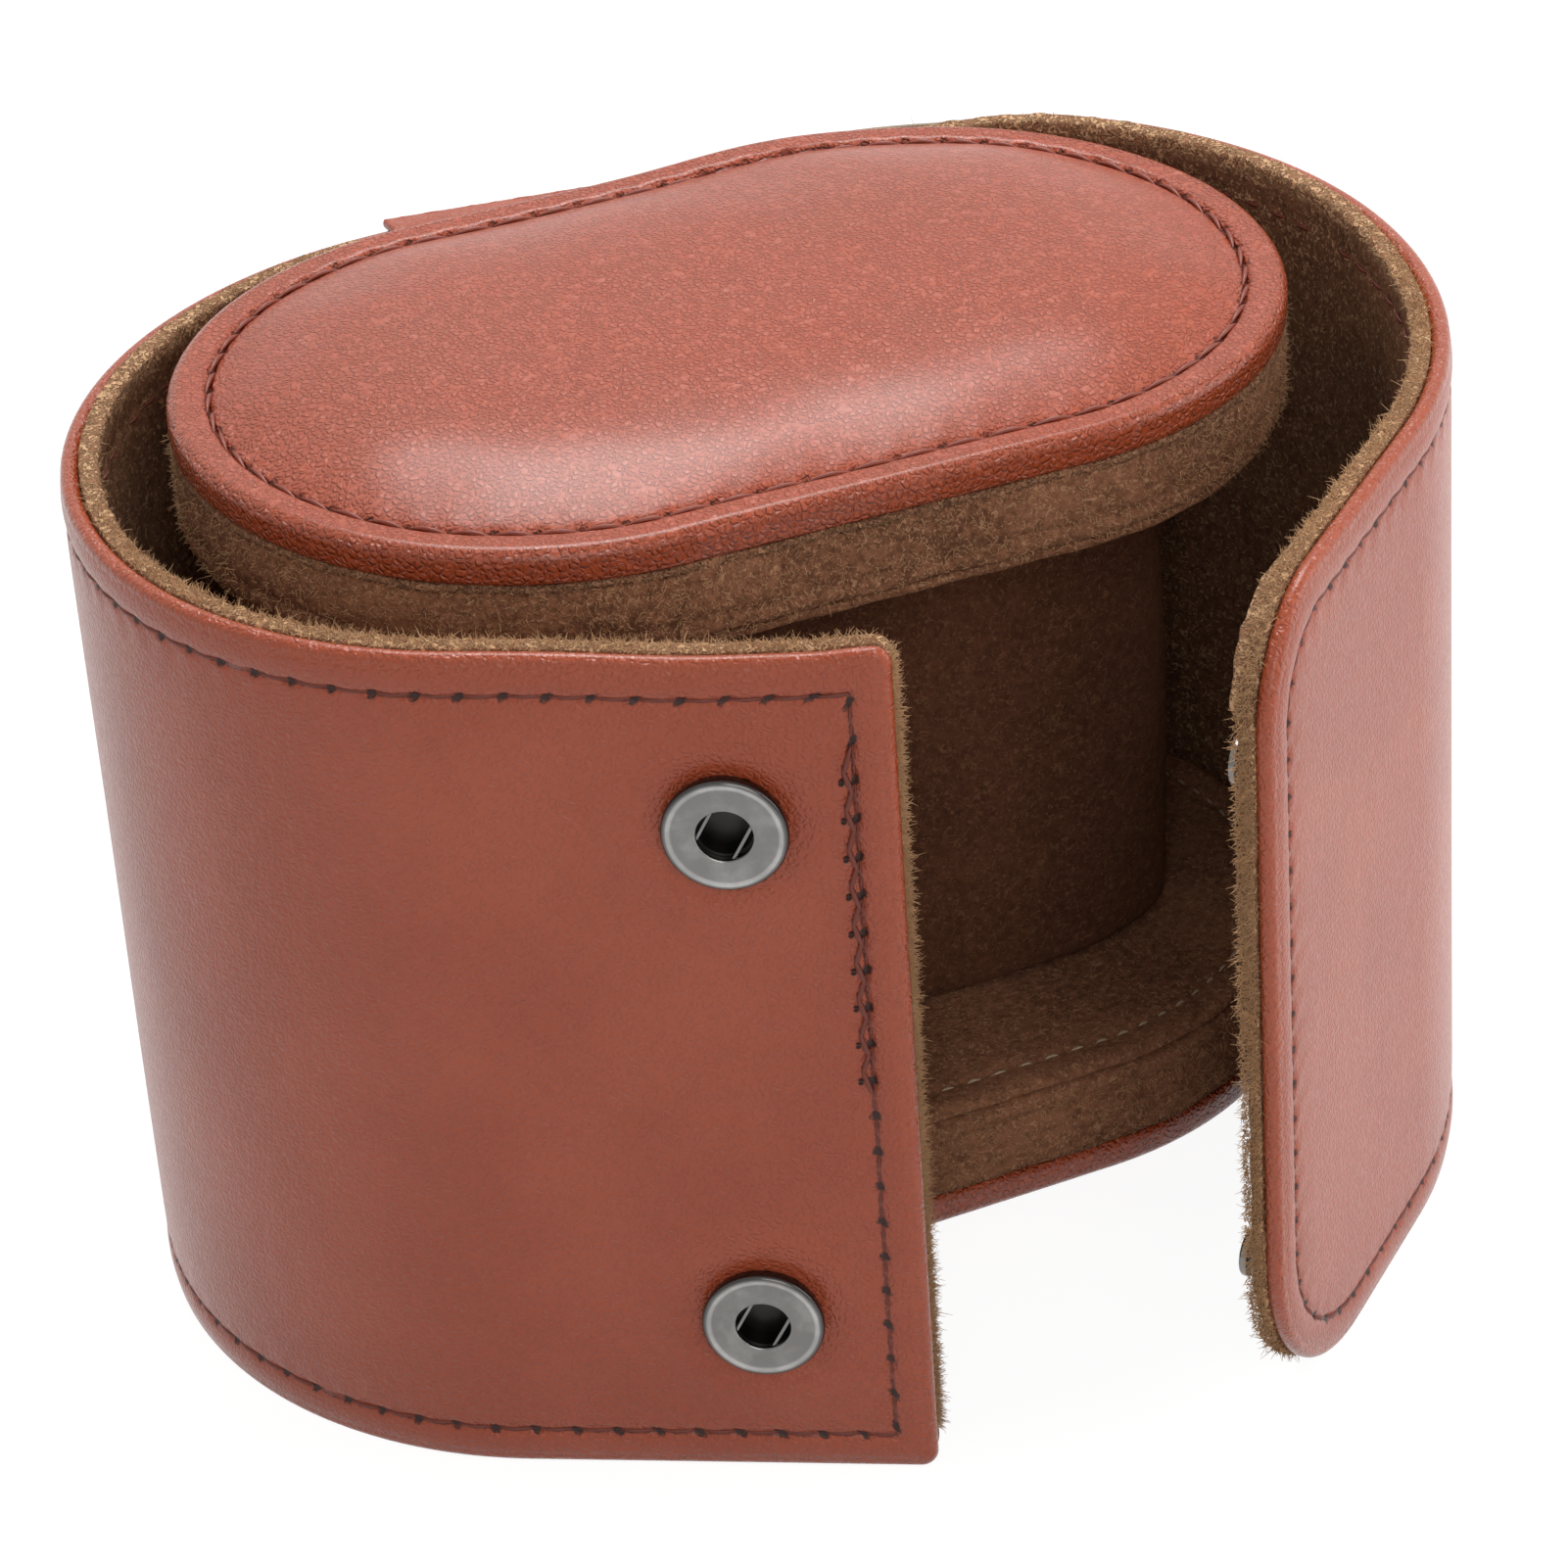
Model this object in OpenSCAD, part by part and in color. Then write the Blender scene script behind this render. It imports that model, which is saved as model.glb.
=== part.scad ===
// Watch travel case: a leather wrap with two snap fasteners, two padded end
// pads hinged on leather tabs, and a removable watch pillow between them.
// The wrap is sewn from an outer leather, a stiffening board and a suede lining.
// It bends everywhere on the real case. Here it is divided at six fold lines.
// Origin: middle of the back wall's bottom edge. The opening faces -Y. +Z is up.

/* [Wrap] */
// Height of the wrap
case_h = 85; // [75:1:105]
// Thickness of the outer leather
leather_t = 0.9; // [0.7:0.05:1.2]
// Thickness of the stiffening board
board_t = 0.4; // [0.3:0.05:0.7]
// Thickness of the leather where it is pared and turned in
fold_t = 0.4; // [0.3:0.05:0.6]
// Width of the turned-in leather along every edge
fold_w = 8; // [5:0.5:10]
// Thickness of the suede lining
lining_t = 1.7; // [1.2:0.1:2.2]
// Distance from the leather's edge to the lining's edge
lining_inset = 0.5; // [0.3:0.1:1]

/* [Left side of the wrap] */
// Length of the flat back, from the middle to the left bend
left_back_l = 21.6; // [20:0.2:24]
// Outer radius of the bend beside the back
left_rear_r = 41.6; // [40:0.2:44]
// Outer radius of the bend beside the flap
left_front_r = 39.8; // [38:0.2:42]
// Length of the straight flap
left_flap_l = 37; // [34:0.5:44]
// Corner radius of the left flap
left_corner_r = 1.6; // [1:0.1:3]
// Distances of the three fold lines from the start of the bend
left_folds = [10, 66.1, 109.7]; // [10:0.1:130]
// Turn of each fold when the case is closed, in degrees
left_turns = [10.82, 6.76, 12.32]; // [0:0.01:20]

/* [Right side of the wrap] */
// Length of the flat back, from the middle to the right bend
right_back_l = 17; // [16:0.2:19]
// Outer radius of the bend beside the back
right_rear_r = 45; // [44:0.2:47]
// Outer radius of the bend beside the flap
right_front_r = 50; // [48:0.2:52]
// Length of the straight flap
right_flap_l = 35.4; // [34:0.2:44]
// Radius of the right flap's upper corner
right_top_r = 12; // [9:0.5:14]
// Radius of the right flap's lower corner
right_bottom_r = 19; // [12:0.5:21]
// Distances of the three fold lines from the start of the bend
right_folds = [35.6, 93.8, 116.9]; // [10:0.1:130]
// Turn of each fold when the case is closed, in degrees
right_turns = [13.35, 7.85, 19.5]; // [0:0.01:20]

/* [End pads] */
// Length of a pad
pad_l = 104; // [98:0.5:106]
// Depth of a pad, twice the radius of its round ends
pad_d = 66.5; // [64:0.5:67]
// Gap between the pad and the back's lining
pad_gap = 0.8; // [0.7:0.1:2]
// Height of the upper pad's border above the wrap's top rim
top_pad_rise = 1.7; // [1:0.1:3]
// Height of the lower pad's border above the wrap's bottom rim
bottom_pad_rise = 7; // [5:0.5:9]
// Sideways lean of the upper pad, right end lower, in degrees
top_pad_lean = 1.6; // [0:0.1:2]
// Thickness of the pad's leather
pad_leather_t = 1.1; // [0.8:0.1:1.3]
// Height of the leather edge round a pad
pad_edge_h = 3.4; // [3:0.1:4]
// Distance of the stitch from the pad's edge
pad_stitch_in = 3.8; // [3:0.1:5]
// Height of the padded crown above the border
crown_h = 3.4; // [1.5:0.1:3.8]
// Height of the suede band round a pad
band_h = 7.6; // [6:0.1:9]
// Thickness of the suede band
band_t = 1.6; // [1.2:0.1:2]
// Thickness of the inner suede disc
disc_t = 1.3; // [1:0.1:1.6]
// Distance from the pad's edge to the inner disc's edge
disc_in = 1.2; // [0.8:0.1:2]

/* [Leather tabs] */
// Width of the tabs that hinge the pads
tab_w = 39; // [30:1:44]
// Thickness of a tab
tab_t = 0.9; // [0.7:0.05:1]
// Length of a tab that is sewn to the wrap or the pad
tab_sewn_l = 7; // [5:0.5:7]

/* [Pillow] */
// Length of the pillow
pillow_l = 74; // [66:1:78]
// Depth of the pillow
pillow_d = 30; // [24:1:34]
// Turn of the pillow about the vertical, in degrees
pillow_turn = -12; // [-14:1:0]
// Bulge of the pillow's wall at half height
pillow_bulge = 0.8; // [0:0.1:1.5]
// Thickness of the suede cover
pillow_cover_t = 1.5; // [1:0.1:2]
// Clearance between the pillow and the pads
pillow_gap = 0.3; // [0.2:0.05:0.5]

/* [Snap fasteners] */
// Outer diameter of a snap socket
socket_d = 10.9; // [10:0.1:12]
// Height of a socket above the leather
socket_h = 1.2; // [1:0.05:1.3]
// Diameter of the socket's opening
socket_open_d = 4.9; // [4.6:0.1:5.2]
// Distance of the sockets from the left flap's free edge
socket_edge_in = 14.7; // [12:0.1:16]
// Distance of the snaps from the wrap's top and bottom rims
snap_rim_in = 16.6; // [15:0.1:20]
// Diameter of the stud's base
stud_base_d = 7; // [6.4:0.1:8]
// Diameter of the stud's head
stud_head_d = 4.3; // [4:0.05:4.4]
// Diameter of the stud's neck
stud_neck_d = 3; // [2.8:0.05:3.1]
// Diameter of the socket's spring wire
wire_d = 0.4; // [0.3:0.05:0.45]

/* [Hidden] */
$fn = 64;

leather_c = "#b5624a";
edge_c = "#a5523c";
board_c = "#9a8a72";
suede_c = "#7a5c3a";
foam_c = "#e6dcc4";
metal_c = "#6b6a6e";

// Layers of the wall, measured inwards from its outer face
edge_t = leather_t + board_t + fold_t;
nose_r = 0.35 * edge_t;
// Distance from the leather's edge to the board inside it
board_in = leather_t + 0.01;
wall_t = edge_t + lining_t;
pivot_in = leather_t / 2;
// Gaps at a fold line: the deeper the layer, the more it needs to close
leather_gap = 0.5;
board_gap = 0.7;
lining_gap = 1.15;
clear = 0.05;
// How far a cutting shape passes through what it cuts
past = 1;

// The origin lies in the middle of the turned leather edge at the back
back_y = edge_t / 2;
pad_a = (pad_l - pad_d) / 2;
pad_r = pad_d / 2;
pad_y = back_y - wall_t - pad_gap - pad_r;

// One side of the wrap as [flat back, rear radius, front radius, flap length, closing turn]
left_side = [left_back_l, left_rear_r, left_front_r, left_flap_l, sum3(left_turns)];
right_side = [right_back_l, right_rear_r, right_front_r, right_flap_l, sum3(right_turns)];

function sum3(v) = v[0] + v[1] + v[2];
function rear_s(side) = side[1] * PI / 2;
function bend_s(side) = rear_s(side) + side[2] * (90 - side[4]) * PI / 180;
function end_s(side) = bend_s(side) + side[3];
function rear_centre(side) = [side[0], back_y - side[1]];
function front_centre(side) = rear_centre(side) + [side[1] - side[2], 0];
function out_dir(a) = [sin(a), cos(a)];
function along_dir(a) = [cos(a), -sin(a)];
function rear_turn(side, s) = s / side[1] * 180 / PI;
function front_turn(side, s) = 90 + (s - rear_s(side)) / side[2] * 180 / PI;
function turn_at(side, s) =
    s < rear_s(side) ? rear_turn(side, s)
    : s < bend_s(side) ? front_turn(side, s)
    : 180 - side[4];
function flap_start(side) = front_centre(side) + side[2] * out_dir(180 - side[4]);
function outer_at(side, s) =
    s < rear_s(side) ? rear_centre(side) + side[1] * out_dir(turn_at(side, s))
    : s < bend_s(side) ? front_centre(side) + side[2] * out_dir(turn_at(side, s))
    : flap_start(side) + (s - bend_s(side)) * along_dir(180 - side[4]);
function pivot_at(side, s) = outer_at(side, s) - pivot_in * out_dir(turn_at(side, s));

// Where the third fold's pivot lies when the side is closed
function spin(v, a) = [v[0] * cos(a) + v[1] * sin(a), -v[0] * sin(a) + v[1] * cos(a)];
function closed_pivot(side, folds, turns) =
    let (a = pivot_at(side, folds[0]))
    let (b = a + spin(pivot_at(side, folds[1]) - a, turns[0]))
    b + spin(pivot_at(side, folds[2]) - pivot_at(side, folds[1]), turns[0] + turns[1]);

// The studs lie on the right flap where the closed sockets meet them
socket_s = end_s(left_side) - socket_edge_in;
closed_socket_x = closed_pivot(left_side, left_folds, left_turns)[0] - (socket_s - left_folds[2]);
stud_s = right_folds[2] + closed_pivot(right_side, right_folds, right_turns)[0] + closed_socket_x;
closed_gap = closed_pivot(left_side, left_folds, left_turns)[1]
    - closed_pivot(right_side, right_folds, right_turns)[1] - wall_t;

// Stretches of one side of the wrap, swept from a profile (x = minus the depth, y = height).
// Each is built outwards from the plane where its two shapes meet, so that they join exactly.
module sweep_bend(r, a) {
    rotate_extrude(angle = a, $fn = 180) translate([r, 0]) children();
}
module back_bend(side, to) {
    translate(rear_centre(side)) mirror([1, -1, 0]) sweep_bend(side[1], turn_at(side, to)) children();
}
module rear_stretch(side, from, to) {
    translate(rear_centre(side)) sweep_bend(side[1], 90 - turn_at(side, from)) children();
    translate(front_centre(side)) mirror([0, 1, 0]) sweep_bend(side[2], turn_at(side, to) - 90) children();
}
module front_stretch(side, from, to) {
    on_flap(side) {
        translate([0, -side[2], 0]) rotate([0, 0, 90])
            sweep_bend(side[2], 180 - side[4] - turn_at(side, from)) children();
        sweep_x(0, to - bend_s(side)) children();
    }
}
// Frame of a flap: +X along it from the end of the bend, +Y outwards from its outer face
module on_flap(side) {
    translate(flap_start(side)) rotate([0, 0, side[4] - 180]) children();
}
module sweep_x(from, to) {
    translate([from, 0, 0]) rotate([90, 0, 90]) linear_extrude(to - from) children();
}
module mirror_x() { mirror([1, 0, 0]) children(); }

// Profiles of the three layers, the full height of the wall
module both_edges() {
    children();
    translate([0, case_h]) mirror([0, 1]) children();
}
module leather_profile() {
    translate([-leather_t, nose_r]) square([leather_t, case_h - 2 * nose_r]);
    both_edges() {
        bead_profile();
        translate([-edge_t, nose_r]) square([fold_t, fold_w - nose_r]);
        translate([-edge_t, nose_r]) square([edge_t, board_in - nose_r]);
    }
}
// Rounded nose of the turned edge, flat in the middle, where the case stands on it
module bead_profile() {
    intersection() {
        union() {
            translate([-nose_r, nose_r]) circle(nose_r, $fn = 32);
            translate([nose_r - edge_t, nose_r]) circle(nose_r, $fn = 32);
            translate([nose_r - edge_t, 0]) square([edge_t - 2 * nose_r, nose_r]);
        }
        translate([-edge_t, 0]) square([edge_t, nose_r]);
    }
}
module board_profile() {
    translate([-leather_t - board_t, board_in]) square([board_t, case_h - 2 * board_in]);
    translate([-edge_t, fold_w]) square([edge_t - leather_t, case_h - 2 * fold_w]);
}
lining_lip = 0.4 * lining_t;
module lining_profile() {
    high = case_h - 2 * lining_inset;
    translate([-wall_t, lining_inset + lining_lip]) square([lining_t, high - 2 * lining_lip]);
    translate([-wall_t + lining_lip, lining_inset]) square([lining_t - lining_lip, high]);
    both_edges() translate([-wall_t + lining_lip, lining_inset + lining_lip]) circle(lining_lip, $fn = 32);
}

// Outline of a flap in its own frame, inset all round by a given distance
least_r = 0.05;
module flap_outline(from, to, inset, top_r, bottom_r) {
    far = to - inset;
    low = inset;
    high = case_h - inset;
    rt = max(top_r - inset, least_r);
    rb = max(bottom_r - inset, least_r);
    difference() {
        translate([from, low]) square([far - from, high - low]);
        translate([far - rt, high - rt]) square(rt + past);
        translate([far - rb, low - past]) square(rb + past);
    }
    intersection() {
        translate([far - rt, high - rt]) circle(rt, $fn = 96);
        translate([far - rt, high - rt]) square(rt);
    }
    intersection() {
        translate([far - rb, low + rb]) circle(rb, $fn = 96);
        translate([far - rb, low]) square(rb);
    }
}
// Plate of a flap between two depths
module flap_plate(depth, t) {
    translate([0, -depth, 0]) rotate([90, 0, 0]) linear_extrude(t) children();
}
// Turned edge along the flap's rim, with the rim's rounded nose
module flap_bead(from, to, top_r, bottom_r) {
    sweep_x(from, to - bottom_r) bead_profile();
    sweep_x(from, to - top_r) translate([0, case_h]) mirror([0, 1]) bead_profile();
    translate([to, 0, bottom_r]) rotate([0, 0, 90])
        linear_extrude(case_h - top_r - bottom_r) bead_profile();
    bead_corner(to - bottom_r, bottom_r, bottom_r, -90);
    bead_corner(to - top_r, case_h - top_r, top_r, 0);
}
module bead_corner(x, z, r, a) {
    translate([x, 0, z]) rotate([90, 0, 0]) rotate([0, 0, a])
        rotate_extrude(angle = 90, $fn = 96)
            translate([r, 0]) mirror([1, 1]) bead_profile();
}
module flap_leather(side, from, top_r, bottom_r) {
    to = side[3];
    on_flap(side) {
        flap_bead(from, to, top_r, bottom_r);
        flap_plate(0, leather_t) flap_outline(from, to, nose_r, top_r, bottom_r);
        flap_plate(0, edge_t) difference() {
            flap_outline(from, to, nose_r, top_r, bottom_r);
            flap_outline(from - past, to, board_in, top_r, bottom_r);
        }
        flap_plate(leather_t + board_t, fold_t) difference() {
            flap_outline(from, to, nose_r, top_r, bottom_r);
            flap_outline(from - past, to, fold_w, top_r, bottom_r);
        }
    }
}
module flap_board(side, from, top_r, bottom_r) {
    to = side[3];
    on_flap(side) {
        flap_plate(leather_t, board_t) flap_outline(from, to, board_in, top_r, bottom_r);
        flap_plate(leather_t, board_t + fold_t) flap_outline(from, to, fold_w, top_r, bottom_r);
    }
}
module flap_lining(side, from, top_r, bottom_r) {
    to = side[3];
    on_flap(side) {
        flap_plate(edge_t, lining_t - lining_lip) flap_outline(from, to, lining_inset, top_r, bottom_r);
        flap_plate(edge_t, lining_t)
            flap_outline(from, to, lining_inset + lining_lip, top_r, bottom_r);
    }
}

// Back wall and the start of both bends, for one layer
module back_layer(gap) {
    back_bend(right_side, right_folds[0] - gap / 2) children();
    mirror_x() back_bend(left_side, left_folds[0] - gap / 2) children();
    translate([0, back_y, 0]) sweep_x(-left_back_l, right_back_l) children();
}
module back_leather() {
    color(leather_c) back_layer(leather_gap) leather_profile();
}
module back_board() {
    color(board_c) back_layer(board_gap) board_profile();
}
// The lining is cut away at the bottom where the lower tab is sewn in
tab_room = 0.5;
module back_lining() {
    color(suede_c) difference() {
        back_layer(lining_gap) lining_profile();
        translate([-tab_w / 2 - tab_room, back_y - wall_t - past, -past])
            cube([tab_w + 2 * tab_room, lining_t + past, past + tab_low_z + tab_sewn_l + tab_room]);
    }
}
module rear_layer(side, folds, gap) {
    rear_stretch(side, folds[0] + gap / 2, folds[1] - gap / 2) children();
}
module front_layer(side, folds, gap) {
    front_stretch(side, folds[1] + gap / 2, folds[2] - gap / 2) children();
}
module left_rear_leather() {
    color(leather_c) mirror_x() rear_layer(left_side, left_folds, leather_gap) leather_profile();
}
module left_rear_board() {
    color(board_c) mirror_x() rear_layer(left_side, left_folds, board_gap) board_profile();
}
module left_rear_lining() {
    color(suede_c) mirror_x() rear_layer(left_side, left_folds, lining_gap) lining_profile();
}
module left_front_leather() {
    color(leather_c) mirror_x() front_layer(left_side, left_folds, leather_gap) leather_profile();
}
module left_front_board() {
    color(board_c) mirror_x() front_layer(left_side, left_folds, board_gap) board_profile();
}
module left_front_lining() {
    color(suede_c) mirror_x() front_layer(left_side, left_folds, lining_gap) lining_profile();
}
module right_rear_leather() {
    color(leather_c) rear_layer(right_side, right_folds, leather_gap) leather_profile();
}
module right_rear_board() {
    color(board_c) rear_layer(right_side, right_folds, board_gap) board_profile();
}
module right_rear_lining() {
    color(suede_c) rear_layer(right_side, right_folds, lining_gap) lining_profile();
}
module right_front_leather() {
    color(leather_c) front_layer(right_side, right_folds, leather_gap) leather_profile();
}
module right_front_board() {
    color(board_c) front_layer(right_side, right_folds, board_gap) board_profile();
}
module right_front_lining() {
    color(suede_c) front_layer(right_side, right_folds, lining_gap) lining_profile();
}

// Flap starts, measured from the end of the bend
left_flap_x = left_folds[2] - bend_s(left_side);
right_flap_x = right_folds[2] - bend_s(right_side);

// Places a snap piece: +Z points out of the flap's outer face
module at_snaps(side, s) {
    on_flap(side) for (z = [snap_rim_in, case_h - snap_rim_in])
        translate([s - bend_s(side), 0, z]) rotate([-90, 0, 0]) children();
}
module at_sockets() { mirror_x() at_snaps(left_side, socket_s) children(); }
module at_studs() { at_snaps(right_side, stud_s) children(); }
// Round recess for a snap piece, from a depth outwards
module snap_cut(r, depth, h) {
    translate([0, 0, -depth - past]) cylinder(r = r + clear, h = past + h);
}

// Snap sizes that follow from one another
open_r = socket_open_d / 2;
socket_rim = 0.55;
socket_dish = 0.15;
eyelet_wall = 0.35;
eyelet_r = open_r + eyelet_wall;
eyelet_flange_r = 4.4;
eyelet_lip_z = 0.3;
eyelet_floor = 0.3;
spring_room = 0.5;
spring_z = eyelet_lip_z + spring_room / 2 + 0.01;
spring_r = 3.7;
spring_slant = 118;
spring_chord = stud_neck_d / 2 + wire_d / 2 + 0.12;
rivet_r = 0.9;
rivet_flange_r = 3.4;
rivet_in_stud = 1.3;
stud_base_t = 0.9;
stud_head_h = 0.9;
stud_round = 0.3;
// The head passes between the spring's wires and rests under them when the case is closed
stud_h = closed_gap - spring_z + wire_d / 2 + clear + stud_head_h;

module left_flap_leather() {
    color(leather_c) difference() {
        mirror_x() flap_leather(left_side, left_flap_x + leather_gap / 2, left_corner_r, left_corner_r);
        at_sockets() snap_cut(eyelet_r, edge_t, edge_t + past);
    }
}
module left_flap_board() {
    color(board_c) difference() {
        mirror_x() flap_board(left_side, left_flap_x + board_gap / 2, left_corner_r, left_corner_r);
        at_sockets() snap_cut(eyelet_r, edge_t, edge_t + past);
        at_sockets() snap_cut(eyelet_flange_r, edge_t, fold_t);
    }
}
module left_flap_lining() {
    color(suede_c) mirror_x()
        flap_lining(left_side, left_flap_x + lining_gap / 2, left_corner_r, left_corner_r);
}
module right_flap_leather() {
    color(leather_c) difference() {
        flap_leather(right_side, right_flap_x + leather_gap / 2, right_top_r, right_bottom_r);
        at_studs() snap_cut(rivet_flange_r, edge_t, fold_t);
    }
}
module right_flap_board() {
    color(board_c) difference() {
        flap_board(right_side, right_flap_x + board_gap / 2, right_top_r, right_bottom_r);
        at_studs() snap_cut(rivet_flange_r, edge_t, fold_t);
    }
}
module right_flap_lining() {
    color(suede_c) difference() {
        flap_lining(right_side, right_flap_x + lining_gap / 2, right_top_r, right_bottom_r);
        at_studs() snap_cut(rivet_r, wall_t, lining_t + past);
        at_studs() snap_cut(stud_base_d / 2, wall_t, stud_base_t);
    }
}

// Face of the socket: a rolled rim, a dished face and a channel for the spring
module socket_rings() {
    rim = socket_rim;
    rim_x = socket_d / 2 - rim;
    face_z = socket_h - socket_dish;
    color(metal_c) at_sockets() rotate_extrude($fn = 96) difference() {
        union() {
            translate([open_r, 0]) square([rim_x - open_r, face_z]);
            translate([rim_x, socket_h - rim]) circle(rim, $fn = 32);
            square([rim_x + 0.7 * rim, socket_h - rim]);
            translate([open_r + socket_dish, face_z]) circle(socket_dish / 2, $fn = 24);
        }
        translate([0, -past]) square([eyelet_r + clear, past + eyelet_lip_z]);
        translate([0, eyelet_lip_z]) square([spring_r + wire_d, spring_room]);
        translate([0, -past]) square([open_r, socket_h + 2 * past]);
    }
}
// Two spring wires cross the opening at a slant and meet in a ring
module socket_springs() {
    reach = sqrt(pow(spring_r, 2) - pow(spring_chord, 2));
    color(metal_c) at_sockets() translate([0, 0, spring_z]) rotate([0, 0, spring_slant]) {
        rotate_extrude($fn = 64) translate([spring_r, 0]) circle(wire_d / 2, $fn = 16);
        for (side = [-1, 1])
            translate([-reach, side * spring_chord, 0]) rotate([0, 90, 0])
                cylinder(d = wire_d, h = 2 * reach, $fn = 16);
    }
}
// Eyelet behind the socket: a tube with a closed bottom and a flange under the board
module socket_eyelets() {
    color(metal_c) at_sockets() difference() {
        union() {
            translate([0, 0, -edge_t]) cylinder(r = eyelet_r, h = edge_t + eyelet_lip_z);
            translate([0, 0, -edge_t]) cylinder(r = eyelet_flange_r, h = fold_t);
        }
        translate([0, 0, eyelet_floor - edge_t]) cylinder(r = open_r, h = edge_t + past);
    }
}
// Stud: a base sunk into the lining, a neck and a rounded head
module stud_heads() {
    head_r = stud_head_d / 2 - stud_round;
    head_z = stud_h - stud_head_h;
    color(metal_c) at_studs() rotate([180, 0, 0]) translate([0, 0, wall_t]) difference() {
        rotate_extrude($fn = 64) {
            translate([0, -stud_base_t]) square([stud_base_d / 2, stud_base_t]);
            square([stud_neck_d / 2, head_z + stud_round]);
            translate([0, head_z]) square([head_r, stud_head_h]);
            translate([head_r, stud_h - stud_round]) circle(stud_round, $fn = 24);
            translate([head_r, head_z + stud_round]) circle(stud_round, $fn = 24);
            translate([0, head_z + stud_round])
                square([head_r + stud_round, stud_head_h - 2 * stud_round]);
        }
        translate([0, 0, -stud_base_t - past]) cylinder(r = rivet_r, h = past + rivet_in_stud);
    }
}
// Rivet under the right flap's leather that carries the stud
module stud_rivets() {
    color(metal_c) at_studs() rotate([180, 0, 0]) {
        translate([0, 0, edge_t - fold_t]) cylinder(r = rivet_flange_r, h = fold_t);
        translate([0, 0, edge_t - fold_t])
            cylinder(r = rivet_r, h = fold_t + lining_t - stud_base_t + rivet_in_stud - clear);
    }
}

// A solid with the pad's outline from a half profile (x = distance from the end's axis)
module stadium_body() {
    for (end = [0, 1]) mirror([end, 0, 0]) translate([pad_a, 0, 0])
        rotate([0, 0, -90]) rotate_extrude(angle = 180, $fn = 160) children();
    rotate([90, 0, 90]) translate([0, 0, -pad_a]) linear_extrude(2 * pad_a) {
        children();
        mirror([1, 0]) children();
    }
}

// Pad frame: z = 0 at the top of the leather border, the crown above it, the core below
crown_steps = 10;
pad_nose = 1.2;
// The leather turned under the pad's board
under_w = 7;
under_t = 0.6;
// Width of the leather that slopes up from the stitch to the border
border_step = 0.8;
stitch_r = pad_r - pad_stitch_in;
groove = 0.4;
board_top = -groove - pad_leather_t;
function crown_z(t) = -groove + (crown_h + groove) * (1 - pow(1 - t, 2.4));
function crown_line(drop) =
    [for (i = [0:crown_steps]) [stitch_r * (1 - i / crown_steps), crown_z(i / crown_steps) - drop]];

module pad_cover() {
    under_z = under_t - pad_edge_h;
    border_x = stitch_r + border_step;
    stadium_body() {
        difference() {
            union() {
                polygon(concat([[0, board_top]], [[stitch_r, board_top]], crown_line(0)));
                translate([stitch_r, board_top]) square([border_step, pad_leather_t + groove / 4]);
                translate([border_x, board_top]) square([pad_r - pad_nose - border_x, -board_top]);
                translate([pad_r - pad_nose, -pad_nose]) circle(pad_nose, $fn = 32);
                translate([pad_r - pad_nose, -pad_edge_h]) square([pad_nose, pad_edge_h - pad_nose]);
                translate([pad_r - under_w, -pad_edge_h]) square([under_w, under_t]);
            }
            polygon(concat([[0, board_top - past]], [[stitch_r, board_top - past]],
                crown_line(pad_leather_t)));
            translate([0, under_z]) square([pad_r - pad_nose, board_top - under_z]);
        }
    }
}
module pad_foam() {
    stadium_body() polygon(concat([[0, board_top]], crown_line(pad_leather_t)));
}
module pad_board() {
    stadium_body() {
        translate([0, under_t - pad_edge_h]) square([pad_r - pad_nose, pad_edge_h - under_t + board_top]);
        translate([0, -pad_edge_h]) square([pad_r - under_w, 2 * under_t]);
    }
}
band_out = 0.2;
band_round = 0.5;
module pad_band() {
    r = pad_r - band_out;
    low = -pad_edge_h - band_h;
    stadium_body() {
        translate([r - band_t, low]) square([band_t - band_round, band_h]);
        translate([r - band_t, low + band_round]) square([band_t, band_h - 2 * band_round]);
        translate([r - band_round, -pad_edge_h - band_round]) circle(band_round, $fn = 24);
        translate([r - band_round, low + band_round]) circle(band_round, $fn = 24);
    }
}
module pad_core() {
    stadium_body()
        translate([0, -pad_edge_h - band_h]) square([pad_r - band_out - band_t, band_h]);
}
module pad_disc() {
    r = pad_r - disc_in;
    edge = disc_t / 2;
    stadium_body() {
        translate([0, -pad_thick]) square([r - edge, disc_t]);
        translate([r - edge, -pad_thick + edge]) circle(edge, $fn = 24);
    }
}
pad_thick = pad_edge_h + band_h + disc_t;

// Upper pad: its border stands above the rim, and it leans a little to the right
top_pad_z = case_h + top_pad_rise;
module top_pad_place() {
    translate([0, pad_y, top_pad_z]) rotate([0, top_pad_lean, 0]) children();
}
// Lower pad: upside down, hovering above the ground on its tab
module bottom_pad_place() {
    translate([0, pad_y, bottom_pad_rise]) mirror([0, 0, 1]) children();
}

// Slot in the upper pad's leather edge where the tab enters, level with the ground
tab_slot = 0.15;
pad_edge_y = pad_y + pad_r;
top_tab_z = case_h + 0.1;
top_tab_in_z = top_tab_z - tab_t;
module tab_slot_cut() {
    translate([-tab_w / 2 - tab_slot, pad_edge_y - tab_sewn_l - tab_slot, top_tab_in_z - tab_slot])
        cube([tab_w + 2 * tab_slot, tab_sewn_l + past, tab_t + 2 * tab_slot]);
}
module top_pad_cover() {
    color(leather_c) difference() {
        top_pad_place() pad_cover();
        tab_slot_cut();
    }
}
module top_pad_board() {
    color(board_c) difference() {
        top_pad_place() pad_board();
        tab_slot_cut();
    }
}
module top_pad_foam() {
    color(foam_c) difference() {
        top_pad_place() pad_foam();
        tab_slot_cut();
    }
}
module top_pad_band() { color(suede_c) top_pad_place() pad_band(); }
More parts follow.
